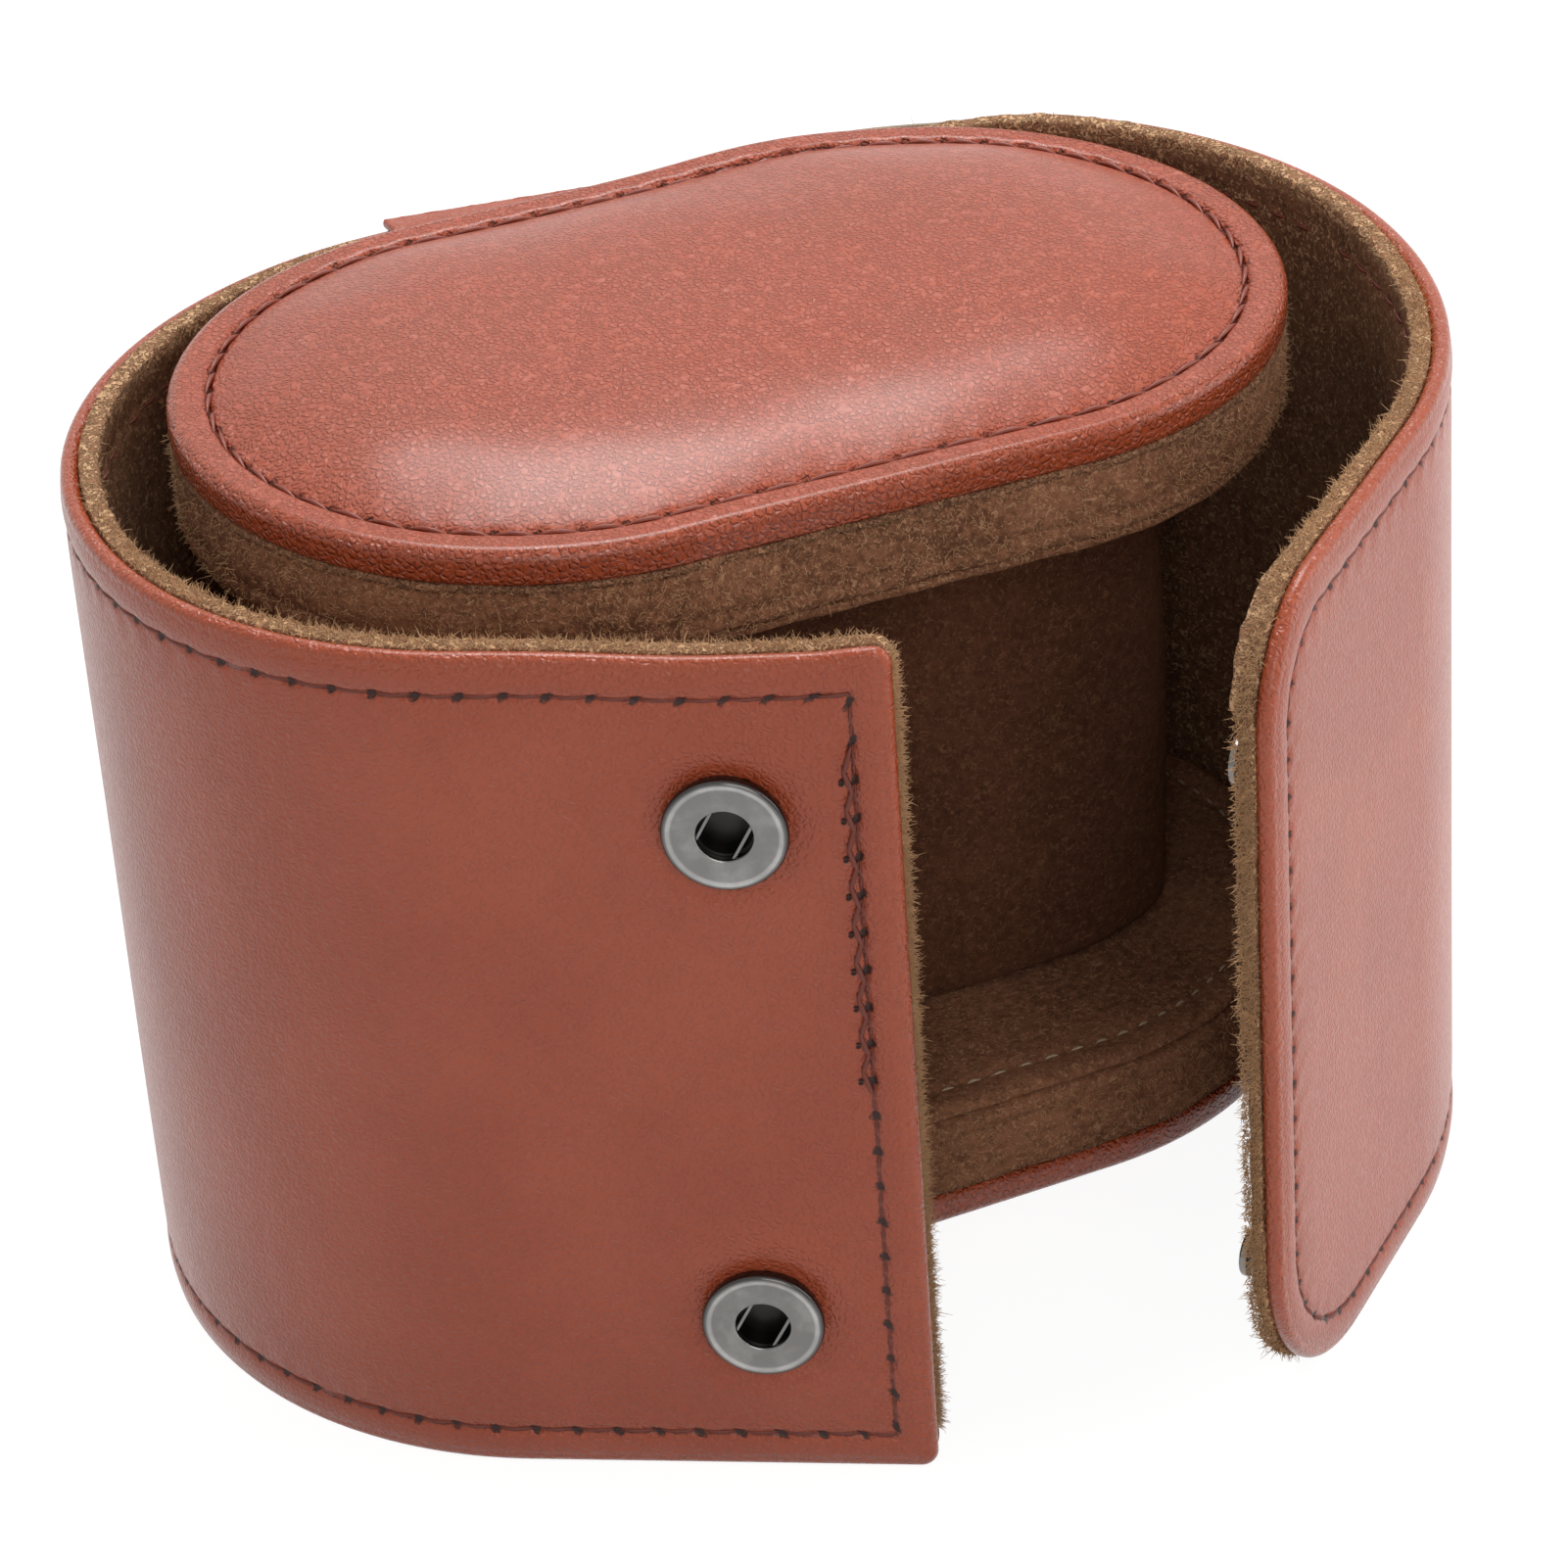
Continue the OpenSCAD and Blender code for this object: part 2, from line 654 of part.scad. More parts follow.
module top_pad_core() { color(foam_c) top_pad_place() pad_core(); }
module top_pad_disc() { color(suede_c) top_pad_place() pad_disc(); }
module bottom_pad_cover() { color(leather_c) bottom_pad_place() pad_cover(); }
module bottom_pad_foam() { color(foam_c) bottom_pad_place() pad_foam(); }
module bottom_pad_board() { color(board_c) bottom_pad_place() pad_board(); }
module bottom_pad_band() { color(suede_c) bottom_pad_place() pad_band(); }
module bottom_pad_core() { color(foam_c) bottom_pad_place() pad_core(); }
module bottom_pad_disc() { color(suede_c) bottom_pad_place() pad_disc(); }

// Upper tab: over the rim at the back and into the pad's edge
tab_hinge_y = -1.2;
tab_hinge_gap = 0.4;
module top_tab_wrap_half() {
    start_y = tab_hinge_y + tab_hinge_gap / 2;
    color(edge_c) translate([-tab_w / 2, start_y, case_h]) cube([tab_w, back_y - start_y, tab_t]);
}
module top_tab_pad_half() {
    end_y = tab_hinge_y - tab_hinge_gap / 2;
    riser_y = pad_edge_y + clear;
    riser_t = 0.75;
    color(edge_c) {
        translate([-tab_w / 2, riser_y, top_tab_z]) cube([tab_w, end_y - riser_y, tab_t]);
        translate([-tab_w / 2, riser_y, top_tab_in_z]) cube([tab_w, riser_t, 2 * tab_t]);
        translate([-tab_w / 2, pad_edge_y - tab_sewn_l, top_tab_in_z])
            cube([tab_w, tab_sewn_l + clear + riser_t, tab_t]);
    }
}
// Lower tab: sewn inside the back wall, folded at the bottom and sewn under the pad
tab_low_z = 1;
tab_fold_gap = 0.3;
// The flat tab stands off the leather by this, because the right bend starts beside it
tab_seat = 0.08;
low_tab_y = back_y - edge_t - tab_seat - tab_t;
module bottom_tab_wrap_half() {
    color(edge_c) translate([-tab_w / 2, low_tab_y, tab_low_z]) cube([tab_w, tab_t, tab_sewn_l]);
}
module bottom_tab_pad_half() {
    outer_y = low_tab_y - tab_fold_gap;
    sewn_y = pad_edge_y - pad_stitch_in + groove;
    color(edge_c) {
        translate([-tab_w / 2, outer_y - tab_t, tab_low_z])
            cube([tab_w, tab_t, bottom_pad_rise - tab_low_z]);
        translate([-tab_w / 2, sewn_y, bottom_pad_rise - tab_t])
            cube([tab_w, outer_y - sewn_y, tab_t]);
    }
}

// Pillow: an oval column, a little fuller at half height
pillow_low = bottom_pad_rise + pad_thick + pillow_gap;
pillow_high = top_pad_z - pad_thick - pillow_l / 2 * sin(top_pad_lean) - pillow_gap;
pillow_h = pillow_high - pillow_low;
pillow_n = 40;
pillow_rings = 10;
pillow_power = 2.3;
function oval(a, b, i) =
    let (t = 360 * i / pillow_n)
    [a * sign(cos(t)) * pow(abs(cos(t)), 2 / pillow_power),
     b * sign(sin(t)) * pow(abs(sin(t)), 2 / pillow_power)];
function oval_ring(in, grow, z) =
    [for (i = [0:pillow_n - 1])
        let (p = oval(pillow_l / 2 - in + grow, pillow_d / 2 - in + grow, i)) [p[0], p[1], z]];
// Closed column through rings that bulge by a sine
module oval_column(in, low, high, rings, bulge) {
    points = [for (k = [0:rings])
        each oval_ring(in, bulge * sin(180 * k / rings), low + (high - low) * k / rings)];
    sides = [for (k = [0:rings - 1]) for (i = [0:pillow_n - 1])
        let (a = k * pillow_n + i)
        let (b = k * pillow_n + (i + 1) % pillow_n)
        each [[a, a + pillow_n, b], [b, a + pillow_n, b + pillow_n]]];
    bottom = [[for (i = [0:pillow_n - 1]) i]];
    top = [[for (i = [0:pillow_n - 1]) rings * pillow_n + pillow_n - 1 - i]];
    polyhedron(concat(points), concat(sides, bottom, top));
}
pillow_x = 1;
module pillow_place() {
    translate([pillow_x, pad_y, 0]) rotate([0, 0, pillow_turn]) children();
}
end_t = 1.2;
end_in = 0.4;
end_bulge = 0.3;
module pillow_cover() {
    color(suede_c) pillow_place() difference() {
        oval_column(0, pillow_low + end_t, pillow_high - end_t, pillow_rings, pillow_bulge);
        oval_column(pillow_cover_t, pillow_low, pillow_high, 1, 0);
    }
}
module pillow_core() {
    color(foam_c) pillow_place()
        oval_column(pillow_cover_t + clear, pillow_low + end_t, pillow_high - end_t, 1, 0);
}
module pillow_ends() {
    color(suede_c) pillow_place() {
        oval_column(end_in, pillow_low, pillow_low + end_t, 2, end_bulge);
        oval_column(end_in, pillow_high - end_t, pillow_high, 2, end_bulge);
    }
}

back_leather();
back_board();
back_lining();
left_rear_leather();
left_rear_board();
left_rear_lining();
left_front_leather();
left_front_board();
left_front_lining();
left_flap_leather();
left_flap_board();
left_flap_lining();
right_rear_leather();
right_rear_board();
right_rear_lining();
right_front_leather();
right_front_board();
right_front_lining();
right_flap_leather();
right_flap_board();
right_flap_lining();
socket_rings();
socket_springs();
socket_eyelets();
stud_heads();
stud_rivets();
top_tab_wrap_half();
top_tab_pad_half();
bottom_tab_wrap_half();
bottom_tab_pad_half();
top_pad_cover();
top_pad_foam();
top_pad_board();
top_pad_band();
top_pad_core();
top_pad_disc();
bottom_pad_cover();
bottom_pad_foam();
bottom_pad_board();
bottom_pad_band();
bottom_pad_core();
bottom_pad_disc();
pillow_cover();
pillow_core();
pillow_ends();
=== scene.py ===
"""Watch travel case: a sewn leather wrap lined with suede, two padded end pads on leather tabs, two snap
fasteners and a suede pillow. Lengths are millimetres in the part's own frame: the origin is the middle of
the back wall's bottom edge, the opening faces -Y and +Z is up. Meshes are written in metres."""
import math
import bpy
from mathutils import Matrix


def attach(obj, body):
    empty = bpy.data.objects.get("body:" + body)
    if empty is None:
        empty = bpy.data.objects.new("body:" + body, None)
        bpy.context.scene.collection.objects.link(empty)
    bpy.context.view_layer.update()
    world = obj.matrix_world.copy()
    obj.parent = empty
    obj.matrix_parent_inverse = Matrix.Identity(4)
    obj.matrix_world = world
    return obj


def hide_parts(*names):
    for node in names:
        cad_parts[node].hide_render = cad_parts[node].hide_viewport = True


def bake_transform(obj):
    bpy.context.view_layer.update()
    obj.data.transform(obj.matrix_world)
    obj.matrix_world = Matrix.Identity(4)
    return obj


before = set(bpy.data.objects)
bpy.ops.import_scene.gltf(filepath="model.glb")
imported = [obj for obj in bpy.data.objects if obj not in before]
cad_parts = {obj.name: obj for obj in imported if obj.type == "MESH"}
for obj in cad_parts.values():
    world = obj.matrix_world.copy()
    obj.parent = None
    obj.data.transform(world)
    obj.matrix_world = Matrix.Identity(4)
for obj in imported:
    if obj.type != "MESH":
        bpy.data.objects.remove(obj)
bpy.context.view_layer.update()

from types import SimpleNamespace

import bmesh
import bpy
import numpy as np
from mathutils import Matrix

MM = 0.001


# Camera, solved from the photograph's edges: its place, its turn and its focal length

CAMERA_PLACE = (-0.172955, -0.469117, 0.331399)
CAMERA_AXES = ((0.910376, -0.409258, -0.061024),
               (0.266239, 0.466461, 0.843523),
               (-0.316754, -0.784170, 0.533615))
CAMERA_LENS = 133.93


def add_object(name, data):
    """Object of the scene with the given data."""
    thing = bpy.data.objects.new(name, data)
    bpy.context.scene.collection.objects.link(thing)
    return thing


def make_camera():
    """Camera whose right, up and backward axes are the rows of CAMERA_AXES."""
    data = bpy.data.cameras.new("photo_camera")
    data.lens = CAMERA_LENS
    data.sensor_width = 36
    data.clip_start = 0.01
    camera = add_object("photo_camera", data)
    place = Matrix(CAMERA_AXES).transposed().to_4x4()
    place.translation = CAMERA_PLACE
    camera.matrix_world = place
    bpy.context.scene.camera = camera


make_camera()


# Measures of the wrap, as in the part's source

HEIGHT = 85.0
EDGE = 1.7
LINING = 1.7
WALL = EDGE + LINING
BACK_Y = EDGE / 2
LEFT = SimpleNamespace(name="left", sign=-1, back=21.6, rear_r=41.6, front_r=39.8, flap=37.0, top_r=1.6,
                       bottom_r=1.6, folds=(10.0, 66.1, 109.7), close=29.9, window=9, edge_stitch=3.6)
RIGHT = SimpleNamespace(name="right", sign=1, back=17.0, rear_r=45.0, front_r=50.0, flap=35.4, top_r=12.0,
                        bottom_r=19.0, folds=(35.6, 93.8, 116.9), close=40.7, window=9, edge_stitch=3.8)
for side in (LEFT, RIGHT):
    side.rear_s = side.rear_r * math.pi / 2
    side.bend_s = side.rear_s + side.front_r * math.radians(90 - side.close)
    side.end = side.back + side.bend_s + side.flap
    side.cuts = [0, (side.folds[0] + side.folds[1]) / 2, (side.folds[1] + side.folds[2]) / 2]
    side.bodies = ["back", f"{side.name}_rear", f"{side.name}_front", f"{side.name}_flap"]
STITCH = 3.8
PITCH = 3.7
PAD_PITCH = 4.3
NOSE = EDGE / 2
SOCKET_IN = 14.7
SNAP_RIM = 16.6


def plan(u):
    """Point of the outer face and outward direction at the distance u along the wrap from the middle of its
    back, right side positive: straight back, two circular arcs, then the straight flap."""
    u = np.asarray(u, float)
    left = u < 0

    def of(name):
        return np.where(left, getattr(LEFT, name), getattr(RIGHT, name))

    s = np.abs(u) - of("back")
    close = np.radians(180 - of("close"))
    rear = np.clip(s, 0, of("rear_s")) / of("rear_r")
    front = np.clip(s - of("rear_s"), 0, of("bend_s") - of("rear_s")) / of("front_r")
    turn = np.minimum(rear + front, close)
    radius = np.where(s < of("rear_s"), of("rear_r"), of("front_r"))
    straight = np.maximum(s - of("bend_s"), 0)
    centre_x = of("back") + of("rear_r") - radius
    x = centre_x + np.minimum(s, 0) + radius * np.sin(turn) + straight * np.cos(turn)
    y = BACK_Y - of("rear_r") + radius * np.cos(turn) - straight * np.sin(turn)
    sign = np.where(left, -1.0, 1.0)
    return x * sign, y, np.sin(turn) * sign, np.cos(turn)


def spread(*parts):
    """The parts' values at each place of their common grid, as the last axis of one array."""
    return np.stack(np.broadcast_arrays(*parts), -1)


def smooth(x, low, high):
    """Smooth step from 0 at low to 1 at high."""
    t = np.clip((x - low) / (high - low), 0, 1)
    return t * t * (3 - 2 * t)


def bump(x, width):
    """Bell of height 1 and the given half width."""
    return np.exp(-(x / width) ** 2)


def rim_rise(u):
    """How far the soft top rim stands above its even height: it sags behind the upper pad and dips along the
    left flap, which turns up at its corner. A sum of smooth steps and bells of the distance u."""
    sag = -2.2 * np.clip((u + 19.5) / 24, 0, 1) * smooth(u, 50, 24)
    dip = -0.45 * bump(u + LEFT.end - 17, 9)
    corner = 0.5 * smooth(u, 7 - LEFT.end, 1 - LEFT.end)
    return sag + dip + corner


def on_wrap(u, z, depth):
    """Points at the distance u along the wrap, the height z and the depth below the outer face."""
    x, y, out_x, out_y = plan(u)
    z = z + rim_rise(u) * smooth(z, 40, HEIGHT)
    return spread(x - depth * out_x, y - depth * out_y, z)


# Mesh makers

def add_piece(name, points, faces, finish, uv=None, weld=False):
    """Object with the given points in millimetres and faces, smooth shaded, with one uv pair a point."""
    mesh = bpy.data.meshes.new(name)
    points = np.asarray(points, float).reshape(-1, 3)
    faces = np.asarray(faces, np.int32)
    sides = faces.shape[1]
    mesh.vertices.add(len(points))
    mesh.vertices.foreach_set("co", (points * MM).astype(np.float32).ravel())
    mesh.loops.add(faces.size)
    mesh.loops.foreach_set("vertex_index", faces.ravel())
    mesh.polygons.add(len(faces))
    mesh.polygons.foreach_set("loop_start", np.arange(0, faces.size, sides, dtype=np.int32))
    mesh.polygons.foreach_set("use_smooth", np.ones(len(faces), bool))
    mesh.update(calc_edges=True)
    if uv is not None:
        layer = mesh.uv_layers.new(name="along_in")
        layer.data.foreach_set("uv", np.asarray(uv, np.float32).reshape(-1, 2)[faces.ravel()].ravel())
    if weld:
        work = bmesh.new()
        work.from_mesh(mesh)
        bmesh.ops.remove_doubles(work, verts=work.verts, dist=0.02 * MM)
        bmesh.ops.dissolve_degenerate(work, edges=work.edges, dist=0.005 * MM)
        work.to_mesh(mesh)
        work.free()
    mesh.validate()
    mesh.materials.append(finish)
    return add_object(name, mesh)


def grid_faces(rows, columns, flip=False):
    """Quads between neighbouring rows and columns of a grid of points."""
    at = np.arange(rows * columns).reshape(rows, columns)
    quads = np.stack([at[:-1, :-1], at[:-1, 1:], at[1:, 1:], at[1:, :-1]], -1).reshape(-1, 4)
    return quads[:, ::-1] if flip else quads


def add_surface(name, points, finish, uv=None, flip=False, weld=False):
    """Surface through a grid of points."""
    rows, columns = points.shape[:2]
    return add_piece(name, points, grid_faces(rows, columns, flip), finish, uv, weld)


def add_tubes(name, lines, radii, finish, sides=6, up=(0, 0, 1)):
    """Tubes round centre lines: every ring is a circle square to the line, and the ends close to a point.
    lines is (tubes, rings, 3) and radii is (tubes, rings)."""
    lines = np.asarray(lines, float)
    count, rings = lines.shape[:2]
    ahead = np.gradient(lines, axis=1)
    ahead /= np.linalg.norm(ahead, axis=-1, keepdims=True) + 1e-9
    first = np.cross(ahead, np.broadcast_to(up, lines.shape))
    first /= np.linalg.norm(first, axis=-1, keepdims=True) + 1e-9
    second = np.cross(ahead, first)
    turn = np.arange(sides) * 2 * np.pi / sides
    ring = first[:, :, None] * np.cos(turn)[:, None] + second[:, :, None] * np.sin(turn)[:, None]
    points = lines[:, :, None] + ring * np.asarray(radii)[..., None, None]
    at = np.arange(count * rings * sides).reshape(count, rings, sides)
    after = np.roll(at, -1, axis=2)
    quads = np.stack([at[:, :-1], at[:, 1:], after[:, 1:], after[:, :-1]], -1).reshape(-1, 4)
    return add_piece(name, points, quads, finish)


# Finishes

def paint(code):
    """Linear colour from a screen colour code."""
    values = [int(code[i:i + 2], 16) / 255 for i in (1, 3, 5)]
    return tuple(v / 12.92 if v <= 0.04045 else ((v + 0.055) / 1.055) ** 2.4 for v in values) + (1.0,)


class Value:
    """A socket's value in a graph. Arithmetic on it adds the Math nodes that work it out."""

    def __init__(self, graph, socket):
        self.graph, self.socket = graph, socket

    def __add__(self, other):
        return self.graph.math("ADD", self, other)

    def __radd__(self, other):
        return self.graph.math("ADD", other, self)

    def __sub__(self, other):
        return self.graph.math("SUBTRACT", self, other)

    def __rsub__(self, other):
        return self.graph.math("SUBTRACT", other, self)

    def __mul__(self, other):
        return self.graph.math("MULTIPLY", self, other)

    def __rmul__(self, other):
        return self.graph.math("MULTIPLY", other, self)

    def __pow__(self, other):
        return self.graph.math("POWER", self, other)

    def __abs__(self):
        return self.graph.math("ABSOLUTE", self)


class Graph:
    """A node tree, with one method that makes each of its nodes."""

    def __init__(self, tree):
        self.tree = tree

    def node(self, kind, settings, values, output=0):
        """A node of the given type: its settings come first, then the values or links of its sockets."""
        made = self.tree.nodes.new("ShaderNode" + kind)
        for key, value in settings.items():
            setattr(made, key, value)
        for key, value in values.items():
            self.put(made.inputs[key], value)
        return Value(self, made.outputs[output]) if made.outputs else None

    def put(self, socket, value):
        """Link a value to a socket, or set the socket to a plain number or colour."""
        if isinstance(value, Value):
            self.tree.links.new(value.socket, socket)
        else:
            socket.default_value = value

    def math(self, operation, *values):
        """Arithmetic on single numbers."""
        return self.node("Math", {"operation": operation}, dict(enumerate(values)))

    def axis(self, vector, number):
        """One of a vector's three numbers."""
        return self.node("SeparateXYZ", {}, {0: vector}, number)

    def seen(self):
        """1 for camera, glossy and transmission rays, and 0 for the light that bounces."""
        camera, glossy, clear = (self.node("LightPath", {}, {}, f"Is {kind} Ray")
                                 for kind in ("Camera", "Glossy", "Transmission"))
        return self.math("MAXIMUM", self.math("MAXIMUM", camera, glossy), clear)

    def ramp(self, value, low, high):
        """0 below low, 1 above high, smooth between."""
        return self.node("MapRange", {"interpolation_type": "SMOOTHSTEP"},
                         {"Value": value, "From Min": low, "From Max": high}, "Result")

    def mix(self, factor, a, b):
        """Colour a where the factor is 0, b where it is 1."""
        return self.node("Mix", {"data_type": "RGBA"}, {0: factor, 6: a, 7: b}, 2)


class Finish(Graph):
    """A material with one Principled shader. Patterns lie at the object's own place unless told otherwise."""

    def __init__(self, name, **constants):
        self.material = bpy.data.materials.new(name)
        self.material.use_nodes = True
        super().__init__(self.material.node_tree)
        self.shader = self.tree.nodes["Principled BSDF"]
        for key, value in constants.items():
            self.set(key.replace("_", " "), value)
        self.place = self.node("TexCoord", {}, {}, "Object")

    def set(self, name, value):
        """Give one input of the shader a value."""
        self.put(self.shader.inputs[name], value)

    def noise(self, scale, detail=2.0, rough=0.5, bend=0.0):
        """Noise between 0 and 1. A bend pulls it about by itself."""
        return self.node("TexNoise", {}, {"Vector": self.place, "Scale": scale, "Detail": detail,
                                          "Roughness": rough, "Distortion": bend}, "Fac")

    def curls(self, scale):
        """Short bent strands."""
        return self.noise(scale, bend=1.6)

    def cells(self, scale, feature="F1", at=None):
        """Distance in a pattern of cells: to each one's middle, or to its edge."""
        return self.node("TexVoronoi", {"feature": feature}, {"Vector": at or self.place, "Scale": scale},
                         "Distance")

    def uv(self):
        """The piece's own map: the count of stitches along its edge, and the distance in from the edge."""
        place = self.node("UVMap", {"uv_map": "along_in"}, {}, "UV")
        return self.axis(place, 0), self.axis(place, 1)

    def relief(self, height, distance, strength=1.0):
        """Bump of a height between 0 and 1, over those set before."""
        values = {"Height": height, "Distance": distance * MM, "Strength": strength}
        if self.shader.inputs["Normal"].is_linked:
            values["Normal"] = Value(self, self.shader.inputs["Normal"].links[0].from_socket)
        self.set("Normal", self.node("Bump", {}, values, "Normal"))


def grained(finish):
    """Fine pebbles and slight creases of full-grain leather, as a height."""
    bent = finish.node("VectorMath", {"operation": "ADD"}, {
        0: finish.place,
        1: finish.node("VectorMath", {"operation": "SCALE"},
                       {0: finish.node("TexNoise", {}, {"Vector": finish.place, "Scale": 300.0}, "Color"),
                        "Scale": 0.0009}, "Vector")}, "Vector")
    pebbles = finish.ramp(finish.cells(1550.0, "DISTANCE_TO_EDGE", bent), 0.0, 0.3)
    return pebbles * 0.7 + finish.noise(5200.0, 3.0) * 0.25


def make_leather(name, base, line_colour, hole_shade_share, grain):
    """Tan-red leather with pebbles, mottling, orange turned edges and needle holes along its stitches, which
    are painted dark as the shade inside them. The grain is the pebbles' height."""
    finish = Finish(name, Specular_IOR_Level=0.3, Coat_Weight=0.4, Coat_Roughness=0.25)
    along, inside = finish.uv()
    mottle = finish.noise(60.0, 3.0, 0.5)
    flecks = finish.noise(1500.0, 3.0, 0.7)
    colour = finish.mix(finish.ramp(mottle, 0.35, 0.7), paint(base), paint("#AB4E30"))
    colour = finish.mix(finish.ramp(flecks, 0.55, 0.75) * 0.25, colour, paint("#8C3E29"))
    edge = 1 - finish.ramp(inside + finish.noise(90.0, 2.0) * 0.5, 0.9, 2.0)
    colour = finish.mix(edge * 0.6, colour, paint("#A94A26"))
    wander = (finish.noise(260.0, 2.0) - 0.5) * 0.4
    off_line = inside - STITCH + wander
    line = 1 - finish.ramp(abs(off_line), 0.06, 0.3)
    from_hole = (0.5 - abs(finish.math("FRACT", along) - 0.5)) * PITCH
    ragged = (finish.noise(2600.0, 2.0) - 0.5) * 0.6
    hole = 1 - finish.ramp((from_hole * from_hole + off_line * off_line) ** 0.5 + ragged, 0.28, 0.58)
    colour = finish.mix(line * 0.75, colour, paint(line_colour))
    # Painted shade: each needle hole is darkened to near-black, as much as hole_shade_share asks.
    colour = finish.mix(hole * hole_shade_share, colour, paint("#220D09"))
    finish.set("Base Color", colour)
    finish.set("Roughness", 0.3 + finish.noise(900.0, 3.0) * 0.14 + hole * 0.4 - edge * 0.12)
    finish.relief(grained(finish), grain)
    finish.relief(finish.noise(1100.0, 2.0) * edge, 0.3, 0.8)
    finish.relief(1 - line * 0.6 - hole, 0.3)
    return finish.material


CURL_SHADE = "#A3775A"


def make_suede(name, light, dark, cut, edge_width, edge_share):
    """Brown suede: a napped surface with lighter strands, paler and curlier along its cut edge."""
    finish = Finish(name, Roughness=0.95, Specular_IOR_Level=0.1, Sheen_Weight=0.12, Sheen_Roughness=0.5,
                    Sheen_Tint=paint("#C9A57C"))
    _, inside = finish.uv()
    nap = finish.noise(1100.0, 4.0, 0.75)
    strands = finish.curls(1700.0)
    patches = finish.noise(55.0, 3.0, 0.6)
    colour = finish.mix(finish.ramp(nap * 0.65 + patches * 0.35, 0.32, 0.68), paint(dark), paint(light))
    colour = finish.mix(finish.ramp(strands, 0.54, 0.66) * 0.6, colour, paint(cut))
    edge = 1 - finish.ramp(inside, edge_width * 0.7, edge_width * 1.6)
    curls = finish.ramp(finish.curls(1500.0), 0.42, 0.6)
    colour = finish.mix(edge * edge_share, colour, finish.mix(curls, paint(CURL_SHADE), paint(cut)))
    finish.set("Base Color", colour)
    finish.relief(nap, 0.4, 0.9)
    finish.relief(strands, 0.3, 0.9)
    finish.relief(curls * edge, 0.4)
    return finish.material


def make_plain(name, colour, rough, dark=0.8, scale=700.0, relief=0.1, **constants):
    """Colour with a fine uneven tone and relief."""
    finish = Finish(name, Roughness=rough, **constants)
    tone = finish.noise(scale, 3.0, 0.6)
    base = paint(colour)
    shade = tuple(c * dark for c in base[:3]) + (1.0,)
    finish.set("Base Color", finish.mix(tone, shade, base))
    finish.relief(tone, relief, 0.6)
    return finish.material


def make_metal():
    """Black nickel with faint pits and patchy wear, a painted highlight on its high rolled ring and a painted
    dark reflection on its outer edge. The map's second number is the distance from the ring's middle."""
    finish = Finish("black_nickel", Metallic=1.0)
    _, radius = finish.uv()
    wear = finish.noise(300.0, 4.0, 0.6)
    colour = finish.mix(finish.ramp(wear, 0.4, 0.7), paint("#777573"), paint("#8B8987"))
    # Painted highlight along the high rolled ring, broken up by the wear.
    painted_rim_highlight = finish.ramp(radius, 4.5, 4.75) * (1 - finish.ramp(radius, 4.95, 5.05))
    colour = finish.mix(painted_rim_highlight * wear * 0.7, colour, paint("#D5D3D1"))
    # Painted dark reflection on the ring's outer edge.
    colour = finish.mix(finish.ramp(radius, 5.0, 5.3) * 0.8, colour, paint("#3C3A39"))
    finish.set("Base Color", colour)
    finish.set("Roughness", 0.16 + finish.ramp(wear, 0.4, 0.8) * 0.12)
    pits = 1 - finish.ramp(finish.cells(1900.0), 0.05, 0.14)
    finish.relief(1 - pits * 0.6, 0.04, 0.7)
    return finish.material


leather = make_leather("tan_leather", "#A24627", "#6E2A1A", 0.92, 0.13)
pad_hide = make_leather("pad_leather", "#AF4B2A", "#6E2414", 0.3, 0.31)
suede = make_suede("brown_suede", "#93674C", "#5B3B2D", "#E0B58C", 1.3, 1.0)
pad_suede = make_suede("pad_suede", "#A97558", "#654230", "#CC9F7C", 0.5, 0.3)
# A darker, redder copy of the brown suede for the pillow deep inside the case: painted shade.
shade_painted_suede = make_suede("shade_painted_suede", "#714935", "#4E2F22", "#8C634A", 0.5, 0.3)
thread = make_plain("dark_thread", "#783322", 0.5, 0.6, 3000.0)
# Near-black thread for the lock stitches' ties: painted shade of the needle holes.
hole_shade_thread = make_plain("painted_hole_shade", "#2C120C", 0.7, 0.6, 3000.0)
pad_thread = make_plain("pad_thread", "#94402A", 0.4, 0.5, 1500.0)
pale_thread = make_plain("pale_thread", "#CDB79A", 0.7, 0.7, 3000.0)
fibre = make_plain("suede_fibre", "#D6AA7E", 0.9, 0.6, 300.0)
board = make_plain("grey_board", "#9A8A72", 0.9)
foam = make_plain("cream_foam", "#E6DCC4", 0.9)
metal = make_metal()
# Dark steel for the eyelets: painted shade inside the sockets' holes.
shaded_metal = make_plain("shaded_steel", "#3B3938", 0.35, 0.6, 300.0, Metallic=1.0)


# The wrap

BORDER_ROWS = np.array([0.9, 1.15, 1.5, 2.0, 2.6, 3.1, 3.4, 3.6, 3.8, 4.0, 4.2, 4.5, 5.0, 5.8, 7.0, 8.4])
NOSE_TURNS = np.radians(np.linspace(180, 0, 11))


def leather_rows(inner):
    """Rows of the leather's border: the distance in from its edge and the depth. They run up the turned-in
    strip, over the half-round nose and down the outer face to the inner distance."""
    behind_d = np.array([3.0, 1.6, 1.1])
    nose_d = NOSE * (1 - np.sin(NOSE_TURNS))
    nose_depth = NOSE * (1 - np.cos(NOSE_TURNS))
    ahead = BORDER_ROWS[BORDER_ROWS < inner]
    d = np.concatenate([behind_d, nose_d, ahead])
    depth = np.concatenate([np.full(3, EDGE), nose_depth, np.zeros(len(ahead))])
    return d, depth


